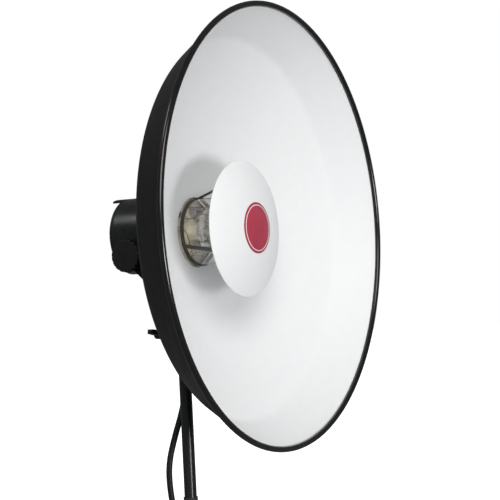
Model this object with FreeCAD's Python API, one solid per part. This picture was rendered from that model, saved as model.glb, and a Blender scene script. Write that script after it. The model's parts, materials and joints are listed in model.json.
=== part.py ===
"""Studio flash head with a white beauty dish, on the top section of a light stand.

Millimetres, +Z up. The origin is the centre of the pole's lower end. The dish faces -Y, and its axis is level at
the height AXIS_Z. "Depth" is a distance behind the dish's rim plane, measured along +Y.
"""

import FreeCAD
import Part
import math
import os

V = FreeCAD.Vector
X_DIR = V(1, 0, 0)
Y_DIR = V(0, 1, 0)
Z_DIR = V(0, 0, 1)

# ---------------------------------------------------------------- driving dimensions
# Overall places
AXIS_Z = 620.0          # height of the dish's axis above the pole's lower end
RIM_Y = -155.0          # the rim plane, in front of the pole's axis

# Dish
DISH_R = 280.0          # outside of the rolled rim
BEAD_R = 3.8            # rolled rim, section radius
SHOULDER_R = 243.0
SHOULDER_DEPTH = 55.6
SHOULDER_FILLET = 22.0
BOWL_DEPTH = 127.6      # inner face at the centre hole
SHEET = 1.2
HOLE_GAP = 2.5          # round the glass
SEAT_WIDTH = 26.0       # flat of the bowl round its hole

# Flash tube cover and what it sits on
GLASS_R = 42.5
GLASS_WALL = 2.2
GLASS_LENGTH = 72.0     # from its seat to the crown
CROWN_R = 60.0          # the crown's middle
CROWN_CORNER = 18.0     # where it rounds into the wall

# Deflector in front of the glass
DEFLECTOR_R = 86.4
DEFLECTOR_DEPTH = 53.4
DEFLECTOR_RISE = 19.0
DEFLECTOR_SHEET = 1.2
BADGE_R = 32.4
BADGE_THICK = 0.6
LEG_ANGLES = (84.0, 204.0, 324.0)
LEG_FOOT_R = 72.0
LEG_WIDTH = 5.0
LEG_THICK = 1.4
CLIP_GAP = 0.3
CLIP_WIDTH = 5.0

# Lamp body
BODY_MARGIN = 7.5       # from the glass out to the body's side
BODY_WALL = 2.0
BODY_LENGTH = 74.0      # the tube between front ring and rear cover
REAR_COVER = 6.0
FRONT_RING = 18.5
COLLAR_GAP = 0.5        # front ring to dish collar
COLLAR_WALL = 2.4
COLLAR_LENGTH = 18.0
COLLAR_FLANGE = 15.0    # its width outside the sleeve
COLLAR_SHEET = 2.0
COLLAR_BOSS_R = 7.0     # boss for the dish's lock screw
LOCK_SCREW_R = 2.5
SCREW_ANGLE = 78.0      # its place, with 0 at +X and 90 up
RIVET_R = 1.4
RIVET_COUNT = 6
PIN_R = 2.4
PIN_SPARE = 0.8         # slot wider than the pin's head
PIN_ANGLES = (20.0, 140.0, 260.0)
TWIST = 20.0            # turn that locks the dish
SLOT_BACK = 7.0         # slot's middle behind the flange
HOOD = 14.0             # lip over the rear cover's upper edge
HOOD_HALF = 17.0
HOOD_WALL = 2.5
GRILLE_MARGIN = 17.0    # from the grille out to the body's side
LOUVRE_PITCH = 5.0
LOUVRE_GAP = 2.6
COVER_SCREWS = (35.0, 145.0, 205.0, 335.0)
SWITCH_Z = -37.0        # lamp switch, from the axis
SWITCH_WIDE = 19.0
SWITCH_TALL = 9.0
ROCKER_TILT = 7.0

# Inside the glass and the body
TUBE_R = 4.0
TUBE_LOOP_R = 25.0
TUBE_FORWARD = 24.0     # the loop in front of the bowl's flat
TUBE_GAP_ANGLE = 24.0
LAMP_R = 9.0
LAMP_LENGTH = 34.0
BASE_THICK = 5.0
ROD_R = 2.0
ROD_FIT = 0.02          # radial, rod in plate
ROD_MARGIN = 8.0        # rods in from the body's bore
CHASSIS_ANGLES = (30.0, 150.0, 270.0)
CHASSIS_BACK = 6.1      # chassis plate behind the front ring
CHASSIS_SHEET = 2.0
BOARD_BACK = 26.0
BOARD_SHEET = 1.6
FAN_AHEAD = 19.0        # fan in front of the rear cover
FAN_DEEP = 13.0
FAN_MARGIN = 11.0       # fan in from the body's bore
FAN_WALL = 3.4
HUB_R = 11.5
MOTOR_R = 10.55
SHAFT_R = 1.5
BLADES = 7

# Yoke and its pivot
PIVOT_SHARE = 0.55      # how far along the body's tube the pivot is, apart from PIVOT_BACK
PIVOT_BACK = 0.7
PIVOT_DROP = 27.0       # below the dish's axis
YOKE_GAP = 2.8          # body side to arm
YOKE_THICK = 4.0
YOKE_DROP = 88.0        # crossbar's upper face below the axis
YOKE_HALF_WIDTH = 14.0
BOSS_R = 12.0
BOLT_R = 4.0
KNOB_R = 21.0
KNOB_THICK = 15.0
FACE_GAP = 0.3          # between faces that turn on each other
RUN_GAP = 0.08          # radial, shaft in hole
ELBOW_Y = 7.0           # where each arm bends, and how far above the crossbar
ELBOW_RISE = 34.0
YOKE_BEND = 8.0         # outer radius where an arm meets the crossbar
WASHER = 1.6
FLUTES = 18

# Pole and the socket on it
POLE_R = 8.0
POLE_WALL = 1.5
SOCKET_WALL = 3.92      # round the liner
FLANGE = 4.0
FLANGE_HALF = 27.0
SCREW_X = 20.0          # the two screws that hold the socket to the crossbar
SCREW_R = 2.5
SOCKET_LENGTH = 54.0
LINER_WALL = 1.5
WING_DROP = 130.0       # wing screw below the dish's axis
WING_R = 24.0
WING_TILT = 12.0
BAND_DROP = 349.0
FOOT_LENGTH = 60.0      # the stretch at the pole's lower end that goes into a stand
FOOT_GROOVE = 0.5       # turned ring that marks its end
FOOT_DISC = 3.0         # end plugs' discs
TOP_DISC = 2.0

# Cord
CORD_R = 4.0
COIL_MEAN_R = 44.0
COIL_RADIAL = 28.0
COIL_AXIAL = 25.0
COIL_DROP = 415.0
TIE_GAP = 4.8
TIE_THICK = 1.6
TIE_TALL = 18.0
GLAND_ANGLE = -60.0
GLAND_LENGTH = 30.0
GLAND_BACK = 4.0        # behind the pivot
PLUG_R = 13.0
PLUG_WALL = 1.8
PLUG_LENGTH = 36.0
BOOT_LENGTH = 22.0

# ---------------------------------------------------------------- values that follow
SEAT_DEPTH = BOWL_DEPTH + 5.4               # the glass stands here
HOLE_R = GLASS_R + HOLE_GAP
BODY_R = GLASS_R + BODY_MARGIN
COLLAR_DEPTH = BOWL_DEPTH + SHEET
RING_DEPTH = COLLAR_DEPTH + COLLAR_SHEET + FACE_GAP  # behind the collar's flange
BODY_DEPTH = RING_DEPTH + FRONT_RING
COVER_DEPTH = BODY_DEPTH + BODY_LENGTH
REAR_DEPTH = COVER_DEPTH + REAR_COVER
BODY_IN = BODY_R - BODY_WALL
ARM_IN = BODY_R + YOKE_GAP
PIVOT_Y = RIM_Y + BODY_DEPTH + PIVOT_SHARE * BODY_LENGTH + PIVOT_BACK
PIVOT_Z = AXIS_Z - PIVOT_DROP
BAR_TOP = AXIS_Z - YOKE_DROP
SOCKET_TOP = BAR_TOP - YOKE_THICK
BORE_TOP = SOCKET_TOP - FLANGE
SOCKET_LOW = BORE_TOP - SOCKET_LENGTH
POLE_TOP = BORE_TOP - 1.0
WING_Z = AXIS_Z - WING_DROP
LINER_IN = POLE_R + RUN_GAP
LINER_OUT = LINER_IN + LINER_WALL
SOCKET_R = LINER_OUT + SOCKET_WALL
COIL_Y = POLE_R + 1.2 + COIL_RADIAL / 2 + COIL_MEAN_R
COIL_Z = AXIS_Z - COIL_DROP
GLAND_Y = PIVOT_Y + GLAND_BACK
SLOT_DEPTH = COLLAR_DEPTH + COLLAR_SHEET + SLOT_BACK
SLOT_WIDTH = 2 * PIN_R + PIN_SPARE
TUBE_DEPTH = BOWL_DEPTH - TUBE_FORWARD
LAMP_BASE = SEAT_DEPTH - 14.0               # where the capsule meets its cap
SOCKET_HOLE = LAMP_R + 3.5
GRILLE_R = BODY_R - GRILLE_MARGIN
CHASSIS_R = BODY_IN - ROD_MARGIN
CHASSIS_DEPTH = BODY_DEPTH + CHASSIS_BACK
BOARD_DEPTH = BODY_DEPTH + BOARD_BACK
FAN_R = BODY_IN - FAN_MARGIN
FAN_DEPTH = COVER_DEPTH - FAN_AHEAD
SWITCH_AXIS_Z = AXIS_Z + SWITCH_Z

shapes = {}


def keep(name, *solids):
    """One node: a single solid, or a group of separate ones."""
    shapes[name] = solids[0] if len(solids) == 1 else Part.makeCompound(list(solids))


def y_at(depth):
    return RIM_Y + depth


def fuse(first, *others):
    return first.fuse(list(others)).removeSplitter()


def on_axis(radius, depth, height=0.0):
    return V(radius, y_at(depth), AXIS_Z + height)


def drum(radius, depth, length, x=0.0, z=0.0):
    """A cylinder along the dish's axis, from depth backwards."""
    return Part.makeCylinder(radius, length, V(x, y_at(depth), AXIS_Z + z), Y_DIR)


def ring(outer, inner, depth, length):
    return drum(outer, depth, length).cut(drum(inner, depth - 1, length + 2))


def lathe(edges):
    """Turns a closed profile of (radius, depth) edges about the dish's axis."""
    face = Part.Face(Part.Wire(edges))
    return face.revolve(V(0, 0, AXIS_Z), Y_DIR, 360)


def line(a, b):
    return Part.LineSegment(on_axis(*a), on_axis(*b)).toShape()


def arc(a, middle, b):
    return Part.Arc(on_axis(*a), on_axis(*middle), on_axis(*b)).toShape()


def polar(radius, degrees):
    t = math.radians(degrees)
    return radius * math.cos(t), radius * math.sin(t)


def turned(shape, degrees):
    """A copy turned about the dish's axis: 0 degrees is +X and 90 is up."""
    copy = shape.copy()
    copy.rotate(V(0, 0, AXIS_Z), Y_DIR, -degrees)
    return copy


def corner_arc(before, corner, after, radius):
    """The points where a fillet between two straight lines starts, bulges and ends."""
    a = V(before[0] - corner[0], before[1] - corner[1], 0).normalize()
    b = V(after[0] - corner[0], after[1] - corner[1], 0).normalize()
    half = a.getAngle(b) / 2
    c = V(corner[0], corner[1], 0)
    reach = radius / math.tan(half)
    bisector = (a + b).normalize()
    middle = c + bisector * (radius / math.sin(half) - radius)
    return [(p.x, p.y) for p in (c + a * reach, middle, c + b * reach)]


def tangent_arc(start, heading, end):
    """The middle point of the arc that leaves start along heading and reaches end."""
    s, e = V(*start, 0), V(*end, 0)
    chord = e - s
    h = V(*heading, 0).normalize()
    side = V(-h.y, h.x, 0)
    radius = chord.Length ** 2 / (2 * chord.dot(side))
    centre = s + side * radius
    middle = (s + e) * 0.5 - centre
    p = centre + middle.normalize() * abs(radius)
    return p.x, p.y


# ---------------------------------------------------------------- dish
def dish_profile(offset):
    """The wall's line at a distance behind its inner face: rim wall, shoulder, bowl."""
    wall_front = (DISH_R - BEAD_R * 1.5 + offset * 0.86, BEAD_R * 0.5 + offset * 0.5)
    corner = (SHOULDER_R - SHEET + offset * 0.707, SHOULDER_DEPTH - SHEET + offset * 1.22)
    bowl_start = (SHOULDER_R * 0.848 + offset * 0.5, SHOULDER_DEPTH + 20.6 + offset * 0.866)
    flat = (HOLE_R + SEAT_WIDTH, BOWL_DEPTH + offset)
    hole = (HOLE_R, BOWL_DEPTH + offset)
    f0, fm, f1 = corner_arc(wall_front, corner, bowl_start, SHOULDER_FILLET + offset)
    heading = (bowl_start[0] - f1[0], bowl_start[1] - f1[1])
    return wall_front, f0, fm, f1, bowl_start, tangent_arc(bowl_start, heading, flat), flat, hole


def reflector_dish():
    a = dish_profile(0.0)
    b = dish_profile(SHEET)
    wall = lathe([
        line(a[0], a[1]), arc(a[1], a[2], a[3]), line(a[3], a[4]), arc(a[4], a[5], a[6]),
        line(a[6], a[7]), line(a[7], b[7]), line(b[7], b[6]),
        arc(b[6], b[5], b[4]), line(b[4], b[3]), arc(b[3], b[2], b[1]), line(b[1], b[0]),
        line(b[0], a[0]),
    ])
    bead = Part.makeTorus(DISH_R - BEAD_R, BEAD_R, V(0, RIM_Y, AXIS_Z), Y_DIR)
    dish = fuse(wall, bead)
    for x, z in rivet_places():
        dish = dish.cut(drum(RIVET_R, BOWL_DEPTH - 1, SHEET + 2, x, z))
    return dish


def rivet_places():
    """Spaced so that none meets a bayonet slot."""
    step = 360 / RIVET_COUNT
    return [polar(HOLE_R + 16.5, 45 + step * k) for k in range(RIVET_COUNT)]


def mount_collar():
    sleeve_in = BODY_R + COLLAR_GAP
    sleeve_out = sleeve_in + COLLAR_WALL
    collar = fuse(
        ring(sleeve_out + COLLAR_FLANGE, HOLE_R, COLLAR_DEPTH, COLLAR_SHEET),
        ring(sleeve_out, sleeve_in, COLLAR_DEPTH + 1.0, COLLAR_LENGTH + 1.0),
        turned(Part.makeCylinder(COLLAR_BOSS_R, 9, on_axis(sleeve_in + 0.6, SLOT_DEPTH), X_DIR), SCREW_ANGLE),
    )
    for x, z in rivet_places():
        collar = collar.cut(drum(RIVET_R, COLLAR_DEPTH - 1, 4.0, x, z))
    hole = Part.makeCylinder(SLOT_WIDTH / 2, 14, on_axis(BODY_R - 5, SLOT_DEPTH), X_DIR)
    for angle in PIN_ANGLES:
        # the run of the slot, cut as overlapping round holes
        run = [turned(hole, angle + step * TWIST / 8) for step in range(9)]
        collar = collar.cut(fuse(*run))
        way_in = Part.makeBox(14, COLLAR_LENGTH, SLOT_WIDTH,
                              V(BODY_R - 5, y_at(SLOT_DEPTH), AXIS_Z - SLOT_WIDTH / 2))
        collar = collar.cut(turned(way_in, angle + TWIST))
    screw_way = Part.makeCylinder(LOCK_SCREW_R + RUN_GAP, 30, on_axis(BODY_R - 5, SLOT_DEPTH), X_DIR)
    return collar.cut(turned(screw_way, SCREW_ANGLE))


def collar_rivets():
    """Six low rivets that hold the dish to the collar's flange."""
    rivets = []
    for x, z in rivet_places():
        head = Part.makeCone(1.6, 2.6, 0.7, V(x, y_at(BOWL_DEPTH) - 0.7, AXIS_Z + z), Y_DIR)
        shank = drum(RIVET_R, BOWL_DEPTH, SHEET + COLLAR_SHEET, x, z)
        tail = drum(2.4, COLLAR_DEPTH + COLLAR_SHEET, 0.8, x, z)
        rivets.append(fuse(head, shank, tail))
    return rivets


def collar_screw():
    """Thumbscrew that locks the dish on the front ring."""
    start = BODY_R + 0.25
    head_r = 6.5
    stem = Part.makeCylinder(LOCK_SCREW_R, 14, on_axis(start, SLOT_DEPTH), X_DIR)
    head = Part.makeCylinder(head_r, 9, on_axis(start + 11.6, SLOT_DEPTH), X_DIR)
    for k in range(12):
        along, up = polar(head_r + 0.3, 30 * k)
        groove = Part.makeCylinder(0.9, 12, on_axis(start + 10, SLOT_DEPTH, up) + Y_DIR * along, X_DIR)
        head = head.cut(groove)
    return turned(fuse(stem, head), SCREW_ANGLE)


# ---------------------------------------------------------------- deflector
def cap_arc_radius():
    return (DEFLECTOR_R ** 2 + DEFLECTOR_RISE ** 2) / (2 * DEFLECTOR_RISE)


def cap_point(radius, inset):
    """A point of the domed disc: inset is the distance inside its outer face."""
    sphere = cap_arc_radius()
    centre = DEFLECTOR_DEPTH - DEFLECTOR_RISE + sphere
    return radius, centre - math.sqrt((sphere - inset) ** 2 - radius ** 2)


def cap_shell(rim_radius, inset, thick):
    a0, am, a1 = cap_point(0.0, inset), cap_point(rim_radius / 2, inset), cap_point(rim_radius, inset)
    b0, bm, b1 = (cap_point(r, inset + thick) for r in (0.0, rim_radius / 2, rim_radius))
    return lathe([arc(a0, am, a1), line(a1, b1), arc(b1, bm, b0), line(b0, a0)])


def deflector_dome():
    lip = Part.makeTorus(DEFLECTOR_R - 1.3, 1.3, V(0, y_at(DEFLECTOR_DEPTH) + 0.6, AXIS_Z), Y_DIR)
    disc = fuse(cap_shell(DEFLECTOR_R - 1.3, 0.0, DEFLECTOR_SHEET), lip)
    return disc.cut([turned(leg_rivet_shank(), a) for a in LEG_ANGLES])


def deflector_clip():
    """The spring ring that grips the glass, and its three flat legs with their feet."""
    inner = GLASS_R + CLIP_GAP
    ring_depth = SEAT_DEPTH - 9.0 - CLIP_WIDTH
    clip = ring(inner + LEG_THICK, inner, ring_depth, CLIP_WIDTH)
    foot_r, foot_depth = cap_point(LEG_FOOT_R, DEFLECTOR_SHEET)
    top = (inner + 0.2, ring_depth + CLIP_WIDTH - 0.5)
    end = (foot_r - 1.0, foot_depth + 0.3)
    run = V(end[0] - top[0], end[1] - top[1], 0).normalize()
    across = V(-run.y, run.x, 0) * LEG_THICK
    if across.x < 0:
        across = across * -1
    corners = [top, end, (end[0] + across.x, end[1] + across.y), (top[0] + across.x, top[1] + across.y)]
    edges = [line(corners[i], corners[(i + 1) % 4]) for i in range(4)]
    leg = Part.Face(Part.Wire(edges)).extrude(V(0, 0, LEG_WIDTH))
    leg.translate(V(0, 0, -LEG_WIDTH / 2))
    foot_in = cap_shell(LEG_FOOT_R + 5, DEFLECTOR_SHEET, LEG_THICK)
    foot_box = Part.makeBox(13, 30, LEG_WIDTH + 3, V(LEG_FOOT_R - 8, y_at(foot_depth) - 15,
                                                     AXIS_Z - (LEG_WIDTH + 3) / 2))
    leg = fuse(leg, foot_in.common(foot_box))
    leg = leg.cut(cap_shell(DEFLECTOR_R, -20.0, DEFLECTOR_SHEET + 20.0))
    leg = leg.cut(leg_rivet_shank())
    return fuse(clip, *(turned(leg, a) for a in LEG_ANGLES))


def leg_rivet_shank():
    r, depth = cap_point(LEG_FOOT_R + 1.5, DEFLECTOR_SHEET + LEG_THICK)
    return Part.makeCylinder(1.0, 3.0, on_axis(r, depth - 2.0), Y_DIR)


def leg_rivets():
    rivets = []
    for a in LEG_ANGLES:
        r, depth = cap_point(LEG_FOOT_R + 1.5, DEFLECTOR_SHEET + LEG_THICK)
        head = Part.makeCylinder(1.9, 1.0, on_axis(r, depth + 0.7), Y_DIR)
        rivets.append(turned(fuse(head, leg_rivet_shank()), a))
    return rivets


# ---------------------------------------------------------------- glass, tube and lamp
def glass_dome():
    """A clear beaker: straight wall, round crown, open at its seat."""
    front = SEAT_DEPTH - GLASS_LENGTH
    across = GLASS_R - CROWN_CORNER
    tilt = math.asin(across / (CROWN_R - CROWN_CORNER))
    corner_depth = front + CROWN_R - (CROWN_R - CROWN_CORNER) * math.cos(tilt)

    def crown(inset, angle):
        reach = CROWN_R - inset
        return reach * math.sin(angle), front + CROWN_R - reach * math.cos(angle)

    def corner(inset, angle):
        reach = CROWN_CORNER - inset
        return across + reach * math.sin(angle), corner_depth - reach * math.cos(angle)

    def outline(inset):
        bend = (tilt + math.pi / 2) / 2
        return [crown(inset, 0.0), crown(inset, tilt / 2), crown(inset, tilt), corner(inset, bend),
                (GLASS_R - inset, corner_depth), (GLASS_R - inset, SEAT_DEPTH)]

    a, b = outline(0.0), outline(GLASS_WALL)
    return lathe([
        arc(a[0], a[1], a[2]), arc(a[2], a[3], a[4]), line(a[4], a[5]), line(a[5], b[5]),
        line(b[5], b[4]), arc(b[4], b[3], b[2]), arc(b[2], b[1], b[0]), line(b[0], a[0]),
    ])


def tube_foot_xz():
    return [polar(TUBE_LOOP_R, 270 + s * TUBE_GAP_ANGLE) for s in (-1, 1)]


def flash_tube():
    """An open ring of quartz tube with two legs that run back to the sockets."""
    loop = Part.makeTorus(TUBE_LOOP_R, TUBE_R, on_axis(0, TUBE_DEPTH), Y_DIR)
    half = tube_foot_xz()[1][0]
    gap = Part.makeBox(2 * half, 40, 60, V(-half, y_at(TUBE_DEPTH) - 20, AXIS_Z - 60))
    body = loop.cut(gap)
    legs = []
    for x, z in tube_foot_xz():
        knee = Part.makeSphere(TUBE_R + 0.2, V(x, y_at(TUBE_DEPTH), AXIS_Z + z))
        leg = drum(TUBE_R, TUBE_DEPTH, SEAT_DEPTH - 8.0 - TUBE_DEPTH, x, z)
        legs += [knee, leg]
    return fuse(body, *legs)


def tube_sockets():
    return [drum(TUBE_R + 2.2, SEAT_DEPTH - 8.0, 8.0, x, z) for x, z in tube_foot_xz()]


def trigger_wire():
    """Fine wire wound along the ring, with a lead back to its terminal."""
    coil = Part.makeTorus(TUBE_LOOP_R, TUBE_R + 0.9, on_axis(0, TUBE_DEPTH), Y_DIR)
    coil = coil.cut(Part.makeTorus(TUBE_LOOP_R, TUBE_R + 0.05, on_axis(0, TUBE_DEPTH), Y_DIR))
    turns = []
    for k in range(14):
        slab = Part.makeBox(24, 16, 0.9, V(TUBE_LOOP_R - 12, y_at(TUBE_DEPTH) - 8, AXIS_Z - 0.45))
        turns.append(coil.common(turned(slab, -30 + 18.4 * k)))
    return turns


def trigger_lead():
    x, z = polar(TUBE_LOOP_R + TUBE_R + 1.6, 90)
    return drum(0.7, TUBE_DEPTH, SEAT_DEPTH - TUBE_DEPTH, x, z)


def lamp_cap():
    """Ceramic base of the halogen lamp, standing in its socket."""
    return drum(LAMP_R, LAMP_BASE, 20.0)


def lamp_capsule():
    front = LAMP_BASE - LAMP_LENGTH
    body = drum(LAMP_R - 1.5, front, LAMP_LENGTH)
    tip = Part.makeSphere(LAMP_R - 1.5, on_axis(0, front))
    return fuse(body, tip)


def lamp_socket():
    """Ceramic sleeve behind the base plate that holds the lamp's cap."""
    outer = drum(SOCKET_HOLE, SEAT_DEPTH + BASE_THICK, 20.0)
    return outer.cut(drum(LAMP_R + RUN_GAP, SEAT_DEPTH + BASE_THICK - 1.0, 3.2))


def base_plate():
    plate = drum(GLASS_R + 2.0, SEAT_DEPTH, BASE_THICK)
    plate = plate.cut(drum(LAMP_R + RUN_GAP, SEAT_DEPTH - 1, 7.0))
    for x, z in tube_foot_xz():
        plate = plate.cut(drum(1.2, SEAT_DEPTH - 1, 7.0, x, z))
    return plate


def terminal_posts():
    """Screw terminals on the base plate for the tube, the trigger and the lamp."""
    posts = []
    for x, z in ((13.0, 16.0), (-13.0, 16.0), (-30.0, 4.0)):
        base = drum(3.6, SEAT_DEPTH - 4.0, 4.0, x, z)
        posts.append(base.cut(drum(1.6, SEAT_DEPTH - 5.0, 3.0, x, z)))
    return posts


def terminal_block():
    block = Part.makeBox(14, 9, 9, V(1, y_at(SEAT_DEPTH) - 9, AXIS_Z + 22))
    for dx in (4, 10):
        block = block.cut(Part.makeCylinder(1.7, 6, V(1 + dx, y_at(SEAT_DEPTH) - 9.5, AXIS_Z + 26.5), Y_DIR))
    return block


def glass_springs():
    """Three leaf springs on the front ring that centre the glass."""
    leaves = []
    for a in (30, 150, 270):
        leaf = ring(GLASS_R + 0.9, GLASS_R + 0.1, SEAT_DEPTH - 7.5, 7.5)
        width = Part.makeBox(12, 20, 8, V(GLASS_R - 4, y_at(SEAT_DEPTH) - 12, AXIS_Z - 4))
        leaves.append(turned(leaf.common(width), a))
    return leaves


# ---------------------------------------------------------------- lamp body
def front_ring():
    """Turned ring that carries the glass, the base plate and the bayonet pins."""
    inner = GLASS_R + 2.0
    body = ring(BODY_R, inner + 0.1, RING_DEPTH, FRONT_RING)
    shelf = ring(inner + 0.2, inner - 4.0, SEAT_DEPTH + BASE_THICK, 3.0)
    spigot = ring(BODY_IN - 0.05, BODY_IN - 2.5, BODY_DEPTH - 1.0, 7.0)
    solid = fuse(body, shelf, spigot)
    for a in PIN_ANGLES:
        solid = solid.cut(turned(Part.makeCylinder(PIN_R - 0.6, 12, on_axis(BODY_R - 5, SLOT_DEPTH), X_DIR), a))
    return solid


def bayonet_pins():
    """Three headed pins pressed into the front ring, standing in the collar's slots."""
    pins = []
    for a in PIN_ANGLES:
        shank = Part.makeCylinder(PIN_R - 0.6, 5, on_axis(BODY_R - 4.8, SLOT_DEPTH), X_DIR)
        head = Part.makeCylinder(PIN_R, 3.4, on_axis(BODY_R + 0.05, SLOT_DEPTH), X_DIR)
        pins.append(turned(fuse(shank, head), a))
    return pins


def vent_slots(angles):
    slots = []
    for a in angles:
        slot = Part.makeBox(12, 34, 2.6, V(BODY_R - 6, y_at(BODY_DEPTH) + 12, AXIS_Z - 1.3))
        slots.append(turned(slot, a))
    return slots


def boss_axis(x):
    return V(x, PIVOT_Y, PIVOT_Z)


def body_shell():
    shell = ring(BODY_R, BODY_IN, BODY_DEPTH, BODY_LENGTH)
    shell = shell.cut(vent_slots([90 + 9 * k for k in range(-4, 5)]))
    gland_way = Part.makeCylinder(6.05, 20, on_axis(BODY_R - 10, GLAND_Y - RIM_Y), X_DIR)
    shell = shell.cut(turned(gland_way, GLAND_ANGLE))
    bolt_way = Part.makeCylinder(BOLT_R + 0.5, 4 * BODY_R, boss_axis(-2 * BODY_R), X_DIR)
    return shell.cut(bolt_way)


def pivot_bosses():
    """Steel pads on the body's sides that carry the tilt pivot."""
    bosses = []
    for side in (-1, 1):
        pad = Part.makeCylinder(BOSS_R, ARM_IN - FACE_GAP - 30, boss_axis(side * 30), X_DIR * side)
        pad = pad.cut(drum(BODY_R, BODY_DEPTH - 40, 200))
        bosses.append(pad.cut(Part.makeCylinder(BOLT_R + RUN_GAP, 100, boss_axis(side * 20), X_DIR * side)))
    return bosses


def pivot_nuts():
    """Plates inside the shell, one behind each boss, that take the pivot's threads."""
    nuts = []
    for side in (-1, 1):
        nut = Part.makeCylinder(9, 40, boss_axis(side * 28), X_DIR * side)
        nut = nut.common(drum(BODY_IN - 0.05, BODY_DEPTH - 40, 200))
        nuts.append(nut.cut(Part.makeCylinder(BOLT_R + RUN_GAP, 100, boss_axis(side * 20), X_DIR * side)))
    return nuts


def rear_cover():
    """Cap with a round louvred grille, a switch window and a short hood over its top edge."""
    cap = drum(BODY_R, COVER_DEPTH, REAR_COVER)
    rim_edges = [e for e in cap.Edges
                 if e.Curve.TypeId == "Part::GeomCircle" and abs(e.Curve.Center.y - y_at(REAR_DEPTH)) < 0.01]
    cap = cap.makeFillet(2.2, rim_edges)
    cap = cap.cut(drum(BODY_IN - 2.0, COVER_DEPTH - 1, REAR_COVER - 2.0))
    spigot = ring(BODY_IN - 0.05, BODY_IN - 2.0, COVER_DEPTH - 5, 6.0)
    hood = ring(BODY_R, BODY_R - HOOD_WALL, COVER_DEPTH + 2, HOOD + REAR_COVER - 2)
    hood = hood.common(Part.makeBox(2 * HOOD_HALF, 60, BODY_R, V(-HOOD_HALF, y_at(COVER_DEPTH), AXIS_Z + 20)))
    cap = fuse(cap, spigot, hood)
    rows = int((GRILLE_R - 1.0) / LOUVRE_PITCH)
    for k in range(-rows, rows + 1):
        z = k * LOUVRE_PITCH
        half = math.sqrt(GRILLE_R ** 2 - z ** 2)
        slot = Part.makeBox(2 * half, 20, LOUVRE_GAP, V(-half, y_at(COVER_DEPTH), AXIS_Z + z - LOUVRE_GAP / 2))
        bars = [Part.makeBox(2.0, 20, 3, V(x - 1, y_at(COVER_DEPTH), AXIS_Z + z - 1.5)) for x in (-14, 14)]
        cap = cap.cut(slot.cut(bars))
    window = Part.makeBox(SWITCH_WIDE, 20, SWITCH_TALL,
                          V(-SWITCH_WIDE / 2, y_at(COVER_DEPTH), SWITCH_AXIS_Z - SWITCH_TALL / 2))
    cap = cap.cut(window)
    for a in COVER_SCREWS:
        x, z = polar(BODY_R - 6.5, a)
        cap = cap.cut(drum(1.5, COVER_DEPTH - 6, 20, x, z))
    return cap


def cover_screws():
    screws = []
    for a in COVER_SCREWS:
        x, z = polar(BODY_R - 6.5, a)
        head = drum(2.8, REAR_DEPTH, 1.6, x, z)
        slot = Part.makeBox(6, 2, 0.8, V(x - 3, y_at(REAR_DEPTH) + 0.8, AXIS_Z + z - 0.4))
        screws.append(fuse(drum(1.5, REAR_DEPTH - 9.0, 9.5, x, z), head).cut(slot))
    return screws


def rocker_pivot():
    return V(0, y_at(REAR_DEPTH) - 3.0, SWITCH_AXIS_Z)


def switch_block(wide, tall, front, back):
    """A box centred on the switch, between two distances behind the cover's rear face."""
    return Part.makeBox(wide, back - front, tall, V(-wide / 2, y_at(REAR_DEPTH) + front, SWITCH_AXIS_Z - tall / 2))


def switch_frame():
    outer = switch_block(SWITCH_WIDE + 4.0, SWITCH_TALL + 4.0, 0.0, 1.4)
    well = switch_block(SWITCH_WIDE - 0.2, SWITCH_TALL - 0.2, -10.4, 1.0)
    inner = switch_block(SWITCH_WIDE - 2.6, SWITCH_TALL - 2.0, -8.4, 5.6)
    axle_way = Part.makeCylinder(1.0 + RUN_GAP, SWITCH_TALL - 1.0,
                                 rocker_pivot() - Z_DIR * (SWITCH_TALL - 1.0) / 2, Z_DIR)
    return fuse(outer, well).cut(inner).cut(axle_way)


def rocker():
    """The lamp switch's rocker, resting with its left end pressed in."""
    pivot = rocker_pivot()
    face = switch_block(SWITCH_WIDE - 4.6, SWITCH_TALL - 2.8, -3.4, 2.0)
    axle = Part.makeCylinder(1.0, SWITCH_TALL - 1.2, pivot - Z_DIR * (SWITCH_TALL - 1.2) / 2, Z_DIR)
    solid = fuse(face, axle)
    solid.rotate(pivot, Z_DIR, ROCKER_TILT)
    return solid


def chassis_rods():
    start = CHASSIS_DEPTH + 0.4
    return [drum(ROD_R, start, COVER_DEPTH - 5.5 - start, *polar(CHASSIS_R, a)) for a in CHASSIS_ANGLES]


def rod_ways(depth, length):
    """The holes that the three rods pass through in a plate."""
    return [drum(ROD_R + ROD_FIT, depth, length, *polar(CHASSIS_R, a)) for a in CHASSIS_ANGLES]


def chassis_plate():
    """Disc behind the front ring that carries the rods and the lamp socket."""
    plate = drum(BODY_IN - 0.1, CHASSIS_DEPTH, CHASSIS_SHEET)
    plate = plate.cut(drum(SOCKET_HOLE + 2.0, BODY_DEPTH, 12.0))
    return plate.cut(rod_ways(BODY_DEPTH, 12.0))


def fan_frame():
    """Fan housing: a ring with three ears for the rods and three spokes that hold the motor."""
    spoke_deep = 1.6
    bore = FAN_R - FAN_WALL
    frame = ring(FAN_R, bore, FAN_DEPTH, FAN_DEEP)
    for a in CHASSIS_ANGLES:
        ear = drum(2 * ROD_R, FAN_DEPTH, FAN_DEEP, *polar(CHASSIS_R, a))
        spoke = Part.makeBox(bore - 7.6, spoke_deep, 3.0, V(9.5, y_at(FAN_DEPTH + FAN_DEEP) - spoke_deep,
                                                            AXIS_Z - 1.5))
        frame = fuse(frame, ear, turned(spoke, a))
    frame = frame.cut(rod_ways(FAN_DEPTH - 1, FAN_DEEP + 2))
    frame = frame.cut(drum(bore, FAN_DEPTH - 1, FAN_DEEP - spoke_deep + 0.1))
    return frame.cut(drum(MOTOR_R + 0.05, FAN_DEPTH + 9.5, 5.0))


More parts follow.
